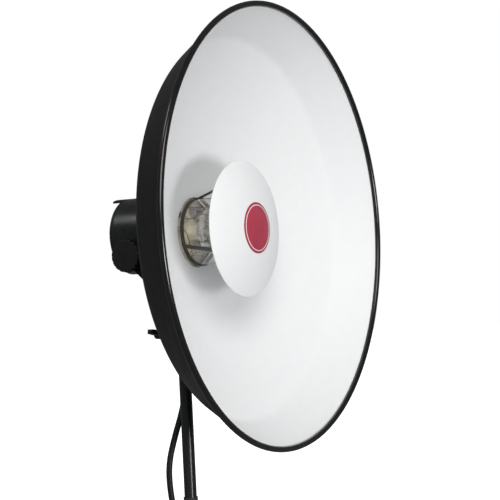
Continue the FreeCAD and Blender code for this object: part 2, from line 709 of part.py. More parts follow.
def fan_motor():
    can = drum(MOTOR_R, FAN_DEPTH + 9.8, 3.6)
    return can.cut(drum(SHAFT_R + RUN_GAP, FAN_DEPTH + 9.0, 3.6))


def fan_rotor():
    hub = drum(HUB_R, FAN_DEPTH + 1.0, 8.4)
    shaft = drum(SHAFT_R, FAN_DEPTH + 9.0, 3.0)
    root = HUB_R - 0.5
    reach = FAN_R - FAN_WALL - 1.6 - root
    blades = []
    for k in range(BLADES):
        blade = Part.makeBox(reach, 1.2, 9.0, V(root, y_at(FAN_DEPTH) + 4.4, AXIS_Z - 4.5))
        blade.rotate(V(root, y_at(FAN_DEPTH) + 5.0, AXIS_Z), X_DIR, 38)
        blades.append(turned(blade, 360 / BLADES * k))
    return fuse(hub, shaft, *blades)


def circuit_board():
    board = drum(BODY_IN - 5.0, BOARD_DEPTH, BOARD_SHEET)
    board = board.cut(drum(12.0, BOARD_DEPTH - 1, 4.0))
    return board.cut(rod_ways(BOARD_DEPTH - 1, 4.0))


def board_parts():
    """Capacitor, relay and resistor group on the board's front face."""
    front = y_at(BOARD_DEPTH)
    cap_tall = Part.makeCylinder(7, 16, V(-24, front - 16, AXIS_Z + 14), Y_DIR)
    relay = Part.makeBox(15, 12, 11, V(15, front - 12, AXIS_Z + 14))
    resistors = [Part.makeCylinder(2, 10, V(-32 + 6 * k, front - 2, AXIS_Z - 12), Z_DIR) for k in range(3)]
    return [cap_tall, relay] + resistors


def trigger_transformer():
    front = y_at(BOARD_DEPTH)
    core = Part.makeBox(22, 16, 16, V(-11, front - 16, AXIS_Z - 36))
    bobbin = Part.makeCylinder(7, 19, V(0, front - 8, AXIS_Z - 37.5), Z_DIR)
    return fuse(core, bobbin)


def thermal_switch():
    """Round cut-out switch on the chassis plate, beside the lamp socket."""
    return drum(6.0, CHASSIS_DEPTH + CHASSIS_SHEET, 4.0, 28.0, 12.0)


# ---------------------------------------------------------------- yoke, socket and knobs
def capsule(a, b, radius, x, thick):
    """A flat bar with round ends between two (y, z) points."""
    ends = [Part.makeCylinder(radius, thick, V(x, p[0], p[1]), X_DIR) for p in (a, b)]
    along = V(0, b[0] - a[0], b[1] - a[1])
    side = V(0, -along.z, along.y).normalize() * radius
    pa, pb = V(x, *a), V(x, *b)
    bar = Part.Face(Part.makePolygon([pa + side, pb + side, pb - side, pa - side, pa + side]))
    return fuse(bar.extrude(V(thick, 0, 0)), *ends)


def yoke():
    """One bent steel strap: two arms that carry the pivot and a crossbar under the body."""
    elbow = (ELBOW_Y, BAR_TOP + ELBOW_RISE)
    bend = YOKE_BEND
    pieces = []
    for side in (-1, 1):
        x = ARM_IN if side > 0 else -ARM_IN - YOKE_THICK
        pieces.append(capsule((PIVOT_Y, PIVOT_Z), elbow, BOSS_R, x, YOKE_THICK))
        pieces.append(capsule(elbow, (1.0, BAR_TOP + 16.0), BOSS_R, x, YOKE_THICK))
        pieces.append(Part.makeBox(YOKE_THICK, 2 * YOKE_HALF_WIDTH - 2, 22.0,
                                   V(x, -YOKE_HALF_WIDTH + 1, BAR_TOP + bend - YOKE_THICK)))
    bar = Part.makeBox(2 * (ARM_IN + YOKE_THICK), 2 * YOKE_HALF_WIDTH, YOKE_THICK + bend,
                       V(-ARM_IN - YOKE_THICK, -YOKE_HALF_WIDTH, BAR_TOP - YOKE_THICK))
    low = [e for e in bar.Edges if abs(e.CenterOfMass.z - BAR_TOP + YOKE_THICK) < 0.01
           and abs(abs(e.CenterOfMass.x) - ARM_IN - YOKE_THICK) < 0.01]
    bar = bar.makeFillet(bend, low)
    room = Part.makeBox(2 * ARM_IN, 4 * YOKE_HALF_WIDTH, 3 * bend, V(-ARM_IN, -2 * YOKE_HALF_WIDTH, BAR_TOP))
    inner = [e for e in room.Edges if abs(e.CenterOfMass.z - BAR_TOP) < 0.01
             and abs(abs(e.CenterOfMass.x) - ARM_IN) < 0.01]
    bar = bar.cut(room.makeFillet(bend - YOKE_THICK, inner))
    strap = fuse(bar, *pieces)
    strap = strap.cut(Part.makeCylinder(BOLT_R + RUN_GAP, 200, boss_axis(-100), X_DIR))
    for x in (-SCREW_X, SCREW_X):
        strap = strap.cut(Part.makeCylinder(SCREW_R + 0.1, 12, V(x, 0, BAR_TOP - 8), Z_DIR))
    return strap


def stand_socket():
    """Clamp socket under the crossbar: flange, blind sleeve and the boss for the wing screw."""
    flange = Part.makeBox(2 * FLANGE_HALF, 2 * YOKE_HALF_WIDTH - 2, FLANGE,
                          V(-FLANGE_HALF, -YOKE_HALF_WIDTH + 1, BORE_TOP))
    upright = [e for e in flange.Edges if abs(abs(e.Vertexes[0].Z - e.Vertexes[1].Z) - FLANGE) < 0.01]
    flange = flange.makeFillet(4.0, upright)
    sleeve = Part.makeCylinder(SOCKET_R, SOCKET_LENGTH + 2, V(0, 0, SOCKET_LOW), Z_DIR)
    boss = Part.makeCylinder(9, 10, V(0, SOCKET_R - 4.0, WING_Z), Y_DIR)
    solid = fuse(flange, sleeve, boss)
    bore = Part.makeCylinder(LINER_OUT, BORE_TOP - SOCKET_LOW, V(0, 0, SOCKET_LOW), Z_DIR)
    solid = solid.cut(bore)
    solid = solid.cut(Part.makeCylinder(BOLT_R + RUN_GAP, 40, V(0, 0, WING_Z), Y_DIR))
    for x in (-SCREW_X, SCREW_X):
        solid = solid.cut(Part.makeCylinder(SCREW_R, 12, V(x, 0, SOCKET_TOP - 10), Z_DIR))
    return solid


def socket_liner():
    """Nylon bush in the socket, which lets the head swivel on the pole."""
    tube = Part.makeCylinder(LINER_OUT, BORE_TOP - SOCKET_LOW, V(0, 0, SOCKET_LOW), Z_DIR)
    tube = tube.cut(Part.makeCylinder(LINER_IN, BORE_TOP - SOCKET_LOW + 2, V(0, 0, SOCKET_LOW - 1), Z_DIR))
    return tube.cut(Part.makeCylinder(BOLT_R + RUN_GAP, 40, V(0, 0, WING_Z), Y_DIR))


def socket_screws():
    screws = []
    for x in (-SCREW_X, SCREW_X):
        head = Part.makeCylinder(4.2, 3.4, V(x, 0, BAR_TOP), Z_DIR)
        hexagon = Part.Face(Part.makePolygon([V(x, 0, BAR_TOP + 1.6) + V(*polar(2.2, 60 * k), 0)
                                              for k in range(7)])).extrude(V(0, 0, 3))
        shank = Part.makeCylinder(SCREW_R, YOKE_THICK + 5.0, V(x, 0, SOCKET_TOP - 4.5), Z_DIR)
        screws.append(fuse(head, shank).cut(hexagon))
    return screws


def wing_screw():
    """Wing-headed screw that presses on the pole through the socket and its liner."""
    tip = POLE_R + 0.3
    hub_y = SOCKET_R + 8.0
    stem = Part.makeCylinder(BOLT_R, hub_y - tip + 4, V(0, tip, WING_Z), Y_DIR)
    hub = Part.makeCone(8.0, 6.0, 20.0, V(0, hub_y, WING_Z), Y_DIR)
    wings = []
    for side in (-1, 1):
        outline = [V(0, hub_y + 4, 0), V(side * 8, hub_y + 6, 0), V(side * WING_R, hub_y + 11, 0),
                   V(side * WING_R, hub_y + 19, 0), V(side * 8, hub_y + 17, 0), V(0, hub_y + 17, 0)]
        face = Part.Face(Part.makePolygon(outline + outline[:1]))
        wing = face.extrude(V(0, 0, 6))
        wing.translate(V(0, 0, WING_Z - 3))
        tips = [e for e in wing.Edges if abs(e.CenterOfMass.x - side * WING_R) < 0.01 and 5 < e.Length < 9]
        wings.append(wing.makeFillet(2.4, tips))
    knob = fuse(stem, hub, *wings)
    knob.rotate(V(0, 0, WING_Z), Y_DIR, WING_TILT)
    return knob


def tilt_knob():
    """Fluted hand knob with its threaded stud, on the left arm."""
    face = -ARM_IN - YOKE_THICK - FACE_GAP
    stud = Part.makeCylinder(BOLT_R, 32, boss_axis(face - 8), X_DIR)
    collar = Part.makeCylinder(10.0, 3.0, boss_axis(face), X_DIR * -1)
    grip = Part.makeCylinder(KNOB_R, KNOB_THICK - 3.0, boss_axis(face - 3.0), X_DIR * -1)
    outer = [e for e in grip.Edges if e.Curve.TypeId == "Part::GeomCircle"]
    grip = grip.makeFillet(2.0, outer)
    for k in range(FLUTES):
        dy, dz = polar(KNOB_R + 0.9, 360 / FLUTES * k)
        flute = Part.makeCylinder(2.2, 40, boss_axis(face) + V(-30, dy, dz), X_DIR)
        grip = grip.cut(flute)
    return fuse(stud, collar, grip)


def pivot_bolt():
    """Shouldered cap screw that carries the other arm."""
    face = ARM_IN + YOKE_THICK + WASHER + FACE_GAP
    stem = Part.makeCylinder(BOLT_R, 30, boss_axis(face), X_DIR * -1)
    head = Part.makeCylinder(7.0, 5.0, boss_axis(face), X_DIR)
    hexagon = Part.Face(Part.makePolygon([boss_axis(face + 2) + V(0, *polar(3.4, 60 * k)) for k in range(7)]))
    return fuse(stem, head).cut(hexagon.extrude(V(5, 0, 0)))


def pivot_washer():
    face = ARM_IN + YOKE_THICK + FACE_GAP
    washer = Part.makeCylinder(9.5, WASHER, boss_axis(face), X_DIR)
    return washer.cut(Part.makeCylinder(BOLT_R, 5, boss_axis(face - 1), X_DIR))


# ---------------------------------------------------------------- pole
def pole():
    """Steel tube with a turned ring that marks how much of it belongs in a stand."""
    tube = Part.makeCylinder(POLE_R, POLE_TOP - FOOT_DISC - TOP_DISC, V(0, 0, FOOT_DISC), Z_DIR)
    mark = Part.makeCylinder(POLE_R + 1.0, 2.0, V(0, 0, FOOT_LENGTH), Z_DIR)
    tube = tube.cut(mark.cut(Part.makeCylinder(POLE_R - FOOT_GROOVE, 2.0, V(0, 0, FOOT_LENGTH), Z_DIR)))
    return tube.cut(Part.makeCylinder(POLE_R - POLE_WALL, POLE_TOP, V(0, 0, 0), Z_DIR))


def pole_plug(face_z, into):
    """An end plug: a disc flush with the tube and a spigot inside it."""
    thick = FOOT_DISC if into > 0 else TOP_DISC
    disc = Part.makeCylinder(POLE_R, thick, V(0, 0, face_z), Z_DIR * into)
    return fuse(disc, Part.makeCylinder(POLE_R - POLE_WALL, 16, V(0, 0, face_z), Z_DIR * into))


def pole_band():
    z = AXIS_Z - BAND_DROP
    band = Part.makeCylinder(POLE_R + 1.3, 8.0, V(0, 0, z), Z_DIR)
    return band.cut(Part.makeCylinder(POLE_R, 10.0, V(0, 0, z - 1), Z_DIR))


# ---------------------------------------------------------------- cord
def gland_point(radius):
    x, z = polar(radius, GLAND_ANGLE)
    return V(x, GLAND_Y, AXIS_Z + z)


def cord_gland():
    """Ribbed rubber strain relief that tapers along the cord."""
    body = Part.makeCone(8.5, 5.2, GLAND_LENGTH - 6, V(0, 0, 0), X_DIR)
    for k in range(4):
        groove = Part.makeTorus(8.4 - 0.62 * (k + 1) + 0.6, 0.9, V(4 + 4.5 * (k + 1), 0, 0), X_DIR)
        body = body.cut(groove)
    flange = Part.makeCylinder(9.5, 6.0, V(-5.5, 0, 0), X_DIR)
    neck = Part.makeCylinder(6.0, 8.0, V(-11.0, 0, 0), X_DIR)
    solid = fuse(body, flange, neck)
    solid = solid.cut(Part.makeCylinder(CORD_R, 20, V(-20, 0, 0), X_DIR))
    solid.translate(on_axis(BODY_R + 6, 0) + V(0, GLAND_Y - RIM_Y, 0))
    solid = turned(solid, GLAND_ANGLE)
    outside = fuse(solid.cut(drum(BODY_R, BODY_DEPTH - 40, 200)),
                   solid.common(Part.makeCylinder(6.0, 40, gland_point(BODY_R - 20),
                                                  gland_point(1) - gland_point(0))))
    return outside


def below(x, y, drop):
    return V(x, y, AXIS_Z - drop)


CORD_POINTS = [
    gland_point(BODY_R + GLAND_LENGTH),
    gland_point(BODY_R + GLAND_LENGTH + 14.0),
    below(50.6, 38.8, 95.0), below(50.2, 35.5, 112.0), below(45.0, 28.5, 140.0),
    below(33.0, 17.0, 169.0), below(18.0, 10.0, 200.0), below(10.0, 13.5, 232.0),
    below(2.0, 21.5, 264.0), below(-5.0, 28.5, 299.0), below(-4.8, 28.0, 334.0),
    below(-1.8, 24.5, 362.0), below(-0.5, 23.4, 384.0),
]
TAIL_POINTS = [
    below(0.0, COIL_Y - 35.0, COIL_DROP + 34.0), below(0.0, COIL_Y - 31.0, COIL_DROP + 48.0),
    below(0.0, COIL_Y - 29.0, COIL_DROP + 66.0), below(0.0, COIL_Y - 29.0, COIL_DROP + 84.0),
]


def cord_path(points, name):
    """Straight runs joined by tangent arcs, each arc as large as its two runs allow."""
    edges = []
    radii = []
    last = points[0]
    for before, corner, after in zip(points, points[1:], points[2:]):
        a, b = before - corner, after - corner
        reach = 0.45 * min(a.Length, b.Length)
        turn = math.pi - a.getAngle(b)
        radius = reach / math.tan(turn / 2)
        a, b = a.normalize(), b.normalize()
        middle = corner + (a + b).normalize() * (radius / math.cos(turn / 2) - radius)
        start, end = corner + a * reach, corner + b * reach
        edges.append(Part.LineSegment(last, start).toShape())
        edges.append(Part.Arc(start, middle, end).toShape())
        radii.append(round(radius, 1))
        last = end
    edges.append(Part.LineSegment(last, points[-1]).toShape())
    print(name, "bend radii", radii)
    return Part.Wire(edges)


def cord_run(points, name):
    path = cord_path(points, name)
    heading = points[1] - points[0]
    section = Part.Wire(Part.makeCircle(CORD_R, points[0], heading))
    tube = path.makePipeShell([section], True, False)
    full = math.pi * CORD_R ** 2 * path.Length
    print(name, "length", round(path.Length, 1), "volume ratio", round(tube.Volume / full, 4))
    return tube


def cord_coil():
    """The put-away turns as one ring of rounded section, in the plane behind the pole."""
    half_r, half_a = COIL_RADIAL / 2, COIL_AXIAL / 2
    block = Part.makeCylinder(COIL_MEAN_R + half_r, COIL_AXIAL, V(-half_a, COIL_Y, COIL_Z), X_DIR)
    block = block.cut(Part.makeCylinder(COIL_MEAN_R - half_r, COIL_AXIAL + 2,
                                        V(-half_a - 1, COIL_Y, COIL_Z), X_DIR))
    edges = [e for e in block.Edges if e.Curve.TypeId == "Part::GeomCircle"]
    return block.makeFillet(5.0, edges)


def coil_tie():
    """Hook-and-loop strap round the pole and the coil's near side."""
    far = POLE_R + 1.2 + COIL_RADIAL - 3.2
    side = COIL_AXIAL / 2 - TIE_GAP + 0.8
    wide, front, widen = POLE_R - 4.2, 3.8 - POLE_R, POLE_R + 5.0
    corners = [V(-wide, front, 0), V(wide, front, 0), V(side, widen, 0), V(side, far, 0), V(-side, far, 0),
               V(-side, widen, 0), V(-wide, front, 0)]
    core = Part.makePolygon(corners)
    inner = Part.Face(core.makeOffset2D(TIE_GAP)).extrude(V(0, 0, TIE_TALL + 2))
    inner.translate(V(0, 0, -1))
    outer = Part.Face(core.makeOffset2D(TIE_GAP + TIE_THICK)).extrude(V(0, 0, TIE_TALL))
    strap = outer.cut(inner)
    strap.translate(V(0, 0, COIL_Z - TIE_TALL / 2))
    return strap


PLUG_TOP = TAIL_POINTS[-1] - Z_DIR * BOOT_LENGTH
PLUG_LOW = PLUG_TOP - Z_DIR * PLUG_LENGTH


def plug_boot():
    end = TAIL_POINTS[-1]
    boot = Part.makeCone(5.4, 8.5, BOOT_LENGTH, end, Z_DIR * -1)
    for k in range(3):
        z = end.z - 5 - 5 * k
        boot = boot.cut(Part.makeTorus(6.4 + 0.7 * k + 0.6, 0.9, V(end.x, end.y, z), Z_DIR))
    return boot


def plug_shell():
    """Round connector body with finger grooves and an open cup for the contacts."""
    shell = Part.makeCylinder(PLUG_R, PLUG_LENGTH, PLUG_LOW, Z_DIR)
    top_edge = [e for e in shell.Edges if abs(e.CenterOfMass.z - PLUG_TOP.z) < 0.01]
    shell = shell.makeFillet(3.0, top_edge)
    for k in range(16):
        dx, dy = polar(PLUG_R + 0.6, 22.5 * k)
        shell = shell.cut(Part.makeCylinder(1.2, 14, PLUG_TOP + V(dx, dy, -20), Z_DIR))
    return shell.cut(Part.makeCylinder(PLUG_R - PLUG_WALL, 12, PLUG_LOW, Z_DIR))


def plug_insert():
    insert = Part.makeCylinder(PLUG_R - PLUG_WALL, 4.0, PLUG_LOW + V(0, 0, 8.0), Z_DIR)
    key = Part.makeBox(3, 3, 6, PLUG_LOW + V(-1.5, PLUG_R - 5.5, 5.0))
    return fuse(insert, key)


def plug_pins():
    return [Part.makeCylinder(1.2, 7.0, PLUG_LOW + V(*polar(6.0, 126 + 72 * k), 1.0), Z_DIR) for k in range(5)]


# ---------------------------------------------------------------- the parts
keep("reflector_dish", reflector_dish())
keep("mount_collar", mount_collar())
keep("collar_rivets", *collar_rivets())
keep("collar_screw", collar_screw())
keep("deflector_dome", deflector_dome())
keep("deflector_badge", cap_shell(BADGE_R, -BADGE_THICK, BADGE_THICK))
keep("deflector_clip", deflector_clip())
keep("leg_rivets", *leg_rivets())
keep("glass_dome", glass_dome())
keep("glass_springs", *glass_springs())
keep("flash_tube", flash_tube())
keep("tube_sockets", *tube_sockets())
keep("trigger_wire", *trigger_wire())
keep("trigger_lead", trigger_lead())
keep("lamp_cap", lamp_cap())
keep("lamp_capsule", lamp_capsule())
keep("lamp_socket", lamp_socket())
keep("base_plate", base_plate())
keep("terminal_posts", *terminal_posts())
keep("terminal_block", terminal_block())
keep("front_ring", front_ring())
keep("bayonet_pins", *bayonet_pins())
keep("body_shell", body_shell())
keep("pivot_bosses", *pivot_bosses())
keep("pivot_nuts", *pivot_nuts())
keep("rear_cover", rear_cover())
keep("cover_screws", *cover_screws())
keep("switch_frame", switch_frame())
keep("switch_rocker", rocker())
keep("chassis_plate", chassis_plate())
keep("chassis_rods", *chassis_rods())
keep("fan_frame", fan_frame())
keep("fan_motor", fan_motor())
keep("fan_rotor", fan_rotor())
keep("circuit_board", circuit_board())
keep("board_parts", *board_parts())
keep("trigger_transformer", trigger_transformer())
keep("thermal_switch", thermal_switch())
keep("yoke", yoke())
keep("stand_socket", stand_socket())
keep("socket_liner", socket_liner())
keep("socket_screws", *socket_screws())
keep("wing_screw", wing_screw())
keep("tilt_knob", tilt_knob())
keep("pivot_bolt", pivot_bolt())
keep("pivot_washer", pivot_washer())
keep("pole", pole())
keep("pole_foot_plug", pole_plug(0.0, 1))
keep("pole_top_plug", pole_plug(POLE_TOP, -1))
keep("pole_band", pole_band())
keep("cord_gland", cord_gland())
keep("cord_tube", cord_run(CORD_POINTS, "cord"))
keep("cord_coil", cord_coil())
keep("cord_tail", cord_run(TAIL_POINTS, "tail"))
keep("coil_tie", coil_tie())
keep("plug_boot", plug_boot())
keep("plug_shell", plug_shell())
keep("plug_insert", plug_insert())
keep("plug_pins", *plug_pins())

os.makedirs("parts", exist_ok=True)
for name, shape in shapes.items():
    solids = shape.Solids
    sound = shape.isValid() and bool(solids) and min(s.Volume for s in solids) > 0
    print(f"{name:20s} {len(solids):3d} solids {shape.Volume / 1000:9.2f} cm3", "" if sound else "BAD SHAPE")
    shape.exportStep(f"parts/{name}.step")
print(len(shapes), "nodes")
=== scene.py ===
# %% [markdown]
# # A studio flash head with a beauty dish
# This lesson dresses a finished mechanical model for its portrait. The model is a flash head: a round lamp body
# in a yoke, a wide shallow dish with a domed deflector in front, and a power cord wound up behind the pole.
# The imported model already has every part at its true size, so the first step loads it and keeps the size of its
# box. Everything made later has to stay in that box, apart from what the looks are allowed to stand proud.

import json
import math

import bmesh
import bpy
from mathutils import Matrix, Vector


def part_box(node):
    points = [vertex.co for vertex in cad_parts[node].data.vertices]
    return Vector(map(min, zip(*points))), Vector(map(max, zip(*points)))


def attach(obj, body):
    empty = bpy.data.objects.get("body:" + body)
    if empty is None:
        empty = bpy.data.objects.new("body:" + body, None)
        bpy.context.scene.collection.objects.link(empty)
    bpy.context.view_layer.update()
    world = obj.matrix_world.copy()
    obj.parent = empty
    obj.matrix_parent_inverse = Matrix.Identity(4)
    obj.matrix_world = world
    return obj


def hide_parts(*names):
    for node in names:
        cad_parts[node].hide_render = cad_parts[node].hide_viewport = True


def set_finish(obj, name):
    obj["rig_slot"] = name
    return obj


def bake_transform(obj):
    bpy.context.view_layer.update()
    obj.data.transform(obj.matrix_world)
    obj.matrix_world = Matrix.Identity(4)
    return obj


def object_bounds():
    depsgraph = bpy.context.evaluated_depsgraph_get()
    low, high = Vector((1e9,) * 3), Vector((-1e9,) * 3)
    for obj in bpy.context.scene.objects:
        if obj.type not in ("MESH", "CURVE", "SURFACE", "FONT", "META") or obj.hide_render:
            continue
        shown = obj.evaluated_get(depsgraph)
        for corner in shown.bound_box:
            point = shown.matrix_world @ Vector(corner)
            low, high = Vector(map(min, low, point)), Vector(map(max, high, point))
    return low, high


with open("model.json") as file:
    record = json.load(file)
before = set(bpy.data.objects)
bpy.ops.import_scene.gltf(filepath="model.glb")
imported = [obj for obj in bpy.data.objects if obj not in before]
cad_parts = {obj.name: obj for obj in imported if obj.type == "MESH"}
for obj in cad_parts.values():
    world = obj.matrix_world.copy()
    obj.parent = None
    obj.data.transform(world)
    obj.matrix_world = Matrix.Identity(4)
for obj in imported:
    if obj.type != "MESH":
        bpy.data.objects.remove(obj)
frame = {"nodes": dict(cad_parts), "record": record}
cad_low, cad_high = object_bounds()
print("model box", [round(v, 3) for v in cad_low], [round(v, 3) for v in cad_high])

# %% [markdown]
# ## Places to build from
# The dish is turned about a level axis, so most of the head is described by a radius and a depth behind the rim.
# Both the axis and the rim plane can be read from the dish's own box. Reading them, and not typing them, keeps
# the looks on the parts if the model is ever made in another size.

# %% The dish's axis and rim
BEAD_R = 0.0038         # rolled rim, radius of its section
SHEET = 0.0012

dish_low, dish_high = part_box("reflector_dish")
AXIS_Z = (dish_low.z + dish_high.z) / 2
DISH_R = (dish_high.x - dish_low.x) / 2
RIM_Y = dish_low.y + BEAD_R
collar_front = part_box("mount_collar")[0].y
BOWL_DEPTH = collar_front - RIM_Y - SHEET
print(f"axis {AXIS_Z:.4f} m up, dish radius {DISH_R:.4f} m, bowl {BOWL_DEPTH:.4f} m deep")


def on_axis(radius, angle, depth):
    """A point at a radius from the dish's axis, an angle from +X and a depth behind the rim."""
    return Vector((radius * math.cos(angle), RIM_Y + depth, AXIS_Z + radius * math.sin(angle)))


# %% [markdown]
# ## The camera
# The head is seen from its left front at nearly its own height, with a long lens, so the dish is a tall ellipse
# and its wall shows as a dark band down one side. A camera is easiest to place by walking round the subject: an
# azimuth, an elevation, a small roll of the hand, then a step back and a small shift of the aim.

# %% Camera
AZIMUTH = math.radians(-60.064)
ELEVATION = math.radians(-1.461)
ROLL = math.radians(-2.781)
STEP_BACK = 1.870
AIM_SHIFT = Vector((-0.0409, -0.0300, 0.0))

lens = bpy.data.cameras.new("portrait_lens")
lens.lens = 108
lens.sensor_width = 36
camera = bpy.data.objects.new("camera", lens)
bpy.context.scene.collection.objects.link(camera)
turn = (Matrix.Rotation(AZIMUTH, 4, "Z") @ Matrix.Rotation(math.pi / 2 - ELEVATION, 4, "X")
        @ Matrix.Rotation(ROLL, 4, "Z"))
stand = Vector((0, RIM_Y, AXIS_Z)) + turn.to_3x3() @ (Vector((0, 0, STEP_BACK)) + AIM_SHIFT)
camera.matrix_world = Matrix.Translation(stand) @ turn
bpy.context.scene.camera = camera
print("camera at", [round(v, 3) for v in stand])

# %% [markdown]
# ## The cord's line
# The cord leaves a tapered relief under the body, drops beside the yoke, swings behind the pole and is wound
# into a tied ring there. A heavy rubber cord bends in long curves, which a NURBS spline of order 3 gives from a
# few listed points. The order and the end points are set after the points exist, or Blender keeps order 2
# and draws straight runs.

# %% Points down to the coil
CORD_R = 0.004
GLAND_Y = 0.040         # the plane of the relief
GLAND_ANGLE = math.radians(-60)
RELIEF_END = 0.080      # radius from the dish's axis where the relief ends


def under(angle, radius):
    """A point out along the relief's own line."""
    return Vector((radius * math.cos(angle), GLAND_Y, AXIS_Z + radius * math.sin(angle)))


def below(x, y, drop):
    return Vector((x, y, AXIS_Z - drop))


lead_down = [
    under(GLAND_ANGLE, RELIEF_END), under(GLAND_ANGLE, RELIEF_END + 0.014),
    below(0.0506, 0.0388, 0.095), below(0.0502, 0.0355, 0.112), below(0.0450, 0.0285, 0.140),
    below(0.0330, 0.0170, 0.169), below(0.0180, 0.0100, 0.200), below(0.0100, 0.0135, 0.232),
    below(0.0020, 0.0215, 0.264), below(-0.0050, 0.0285, 0.299), below(-0.0048, 0.0280, 0.334),
    below(-0.0018, 0.0245, 0.362), below(-0.0005, 0.0234, 0.384),
]
print(len(lead_down), "points from the relief to the coil")

# %% [markdown]
# ## Winding the coil
# A neat hand-wound bundle of nine turns sits three by three. Each turn keeps its own cell of that square and
# steps to the next cell part of the way round. The outer turns step first, so a cell is always empty before a
# turn moves in, and no two strands pass through each other.

# %% Turns of the coil
coil_low, coil_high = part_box("cord_coil")
coil_middle = (coil_low + coil_high) / 2
COIL_R = 0.044          # to the middle turn
RADIAL_STEP = 0.0090
AXIAL_STEP = 0.0083
CELLS = [(0, 0), (0, 1), (-1, 1), (-1, 0), (-1, -1), (0, -1), (1, -1), (1, 0), (1, 1)]
POINTS_PER_TURN = 16
FIRST_CHANGE = 300      # degrees round, where the first turn leaves its cell
CHANGE_EARLIER = 28     # degrees by which each later turn leaves sooner
CHANGE_SPAN = 50        # degrees that a change of cell takes


def cell_at(turn_number, angle):
    """Where in the bundle's section a turn lies at an angle, in steps."""
    first = CELLS[turn_number]
    second = CELLS[min(turn_number + 1, len(CELLS) - 1)]
    change = math.radians(FIRST_CHANGE - CHANGE_EARLIER * turn_number)
    share = min(max((angle - change) / math.radians(CHANGE_SPAN), 0.0), 1.0)
    share = share * share * (3 - 2 * share)
    return [a + (b - a) * share for a, b in zip(first, second)]


def wound(step):
    """Control point number step of the coil, counted from the cord's way in."""
    turn_number = min(step // POINTS_PER_TURN, len(CELLS) - 1)
    angle = 2 * math.pi * step / POINTS_PER_TURN
    radial, axial = cell_at(turn_number, angle - 2 * math.pi * turn_number)
    radius = (COIL_R + radial * RADIAL_STEP) / math.cos(math.pi / POINTS_PER_TURN)
    return Vector((axial * AXIAL_STEP, coil_middle.y - radius * math.cos(angle),
                   coil_middle.z - radius * math.sin(angle)))


coil_turns = [wound(step) for step in range(1, POINTS_PER_TURN * len(CELLS) + 2)]
tail_y = coil_middle.y
tail = [
    Vector((0.0060, tail_y - 0.0400, coil_middle.z - 0.038)),
    Vector((0.0030, tail_y - 0.0330, coil_middle.z - 0.052)),
    Vector((0.0010, tail_y - 0.0295, coil_middle.z - 0.067)),
    Vector((0.0000, tail_y - 0.0290, coil_middle.z - 0.084)),
]
print(len(coil_turns), "points in", len(CELLS), "turns")


def cord_line(name, points):
    """The bare NURBS line of a cord."""
    curve = bpy.data.curves.new(name, "CURVE")
    curve.dimensions = "3D"
    curve.resolution_u = 8
    spline = curve.splines.new("NURBS")
    spline.points.add(len(points) - 1)
    for handle, point in zip(spline.points, points):
        handle.co = (*point, 1.0)
    spline.order_u = 3
    spline.use_endpoint_u = True
    return bpy.data.objects.new(name, curve)


def line_points(line):
    """The smooth points of a bare line, in order."""
    mesh = bpy.data.meshes.new_from_object(line)
    points = [v.co.copy() for v in mesh.vertices]
    bpy.data.meshes.remove(mesh)
    return points


route = line_points(cord_line("cord_route", lead_down + coil_turns + tail))

# %% [markdown]
# ## Helpers that make meshes
# Three ways of making a surface cover most of this object. A lathe spins an outline round the dish's axis. A
# hose sweeps a circle along a line of points, with a frame that never twists. A finished piece gets smooth
# shading with crisp edges kept where the faces meet at a sharp angle.

# %% Lathe, hose and finishing a piece
SMOOTH_UNDER = math.radians(35)
ROUND = 160             # faces round the dish's axis


def piece(name, mesh_work, body, slot):
    """Turns a bmesh into a shaded piece that rides on a body."""
    bmesh.ops.remove_doubles(mesh_work, verts=mesh_work.verts, dist=1e-6)
    bmesh.ops.recalc_face_normals(mesh_work, faces=mesh_work.faces)
    mesh = bpy.data.meshes.new(name)
    mesh_work.to_mesh(mesh)
    mesh_work.free()
    mesh.shade_smooth()
    mesh.set_sharp_from_angle(angle=SMOOTH_UNDER)
    thing = bpy.data.objects.new(name, mesh)
    bpy.context.scene.collection.objects.link(thing)
    if body:
        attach(thing, body)
        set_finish(thing, slot)
    print(f"{name}: {len(mesh.polygons)} faces")
    return thing


def join_rings(mesh_work, rings, closed=True):
    """Faces between neighbouring rings of vertices, and from the last ring to the first if closed."""
    pairs = list(zip(rings, rings[1:]))
    if closed:
        pairs.append((rings[-1], rings[0]))
    for first, second in pairs:
        for k in range(len(first)):
            following = (k + 1) % len(first)
            mesh_work.faces.new((first[k], first[following], second[following], second[k]))


def lathe(name, outline, body, slot, steps=ROUND):
    """Spins a closed outline of (radius, depth) points round the dish's axis."""
    work = bmesh.new()
    rings = [[work.verts.new(on_axis(radius, 2 * math.pi * k / steps, depth)) for k in range(steps)]
             for radius, depth in outline]
    join_rings(work, rings)
    bmesh.ops.dissolve_degenerate(work, edges=work.edges, dist=1e-7)
    return piece(name, work, body, slot)


def sweep(work, path, radius_at, sides, squeeze=1.0):
    """A closed hose along path. radius_at gives the radius at each point's number."""
    heading = (path[1] - path[0]).normalized()
    across = heading.orthogonal().normalized()
    rings = []
    for number, point in enumerate(path):
        after = path[min(number + 1, len(path) - 1)]
        before = path[max(number - 1, 0)]
        new_heading = (after - before).normalized()
        across = (heading.rotation_difference(new_heading) @ across).normalized()
        heading = new_heading
        up = heading.cross(across)
        ring = []
        for k in range(sides):
            angle = 2 * math.pi * k / sides
            offset = across * math.cos(angle) + up * math.sin(angle) * squeeze
            ring.append(work.verts.new(point + offset * radius_at(number)))
        rings.append(ring)
    join_rings(work, rings, closed=False)
    work.faces.new(reversed(rings[0]))
    work.faces.new(rings[-1])


def hose(name, path, radius, body, slot, sides=16):
    work = bmesh.new()
    sweep(work, path, lambda number: radius, sides)
    return piece(name, work, body, slot)


print("helpers ready")
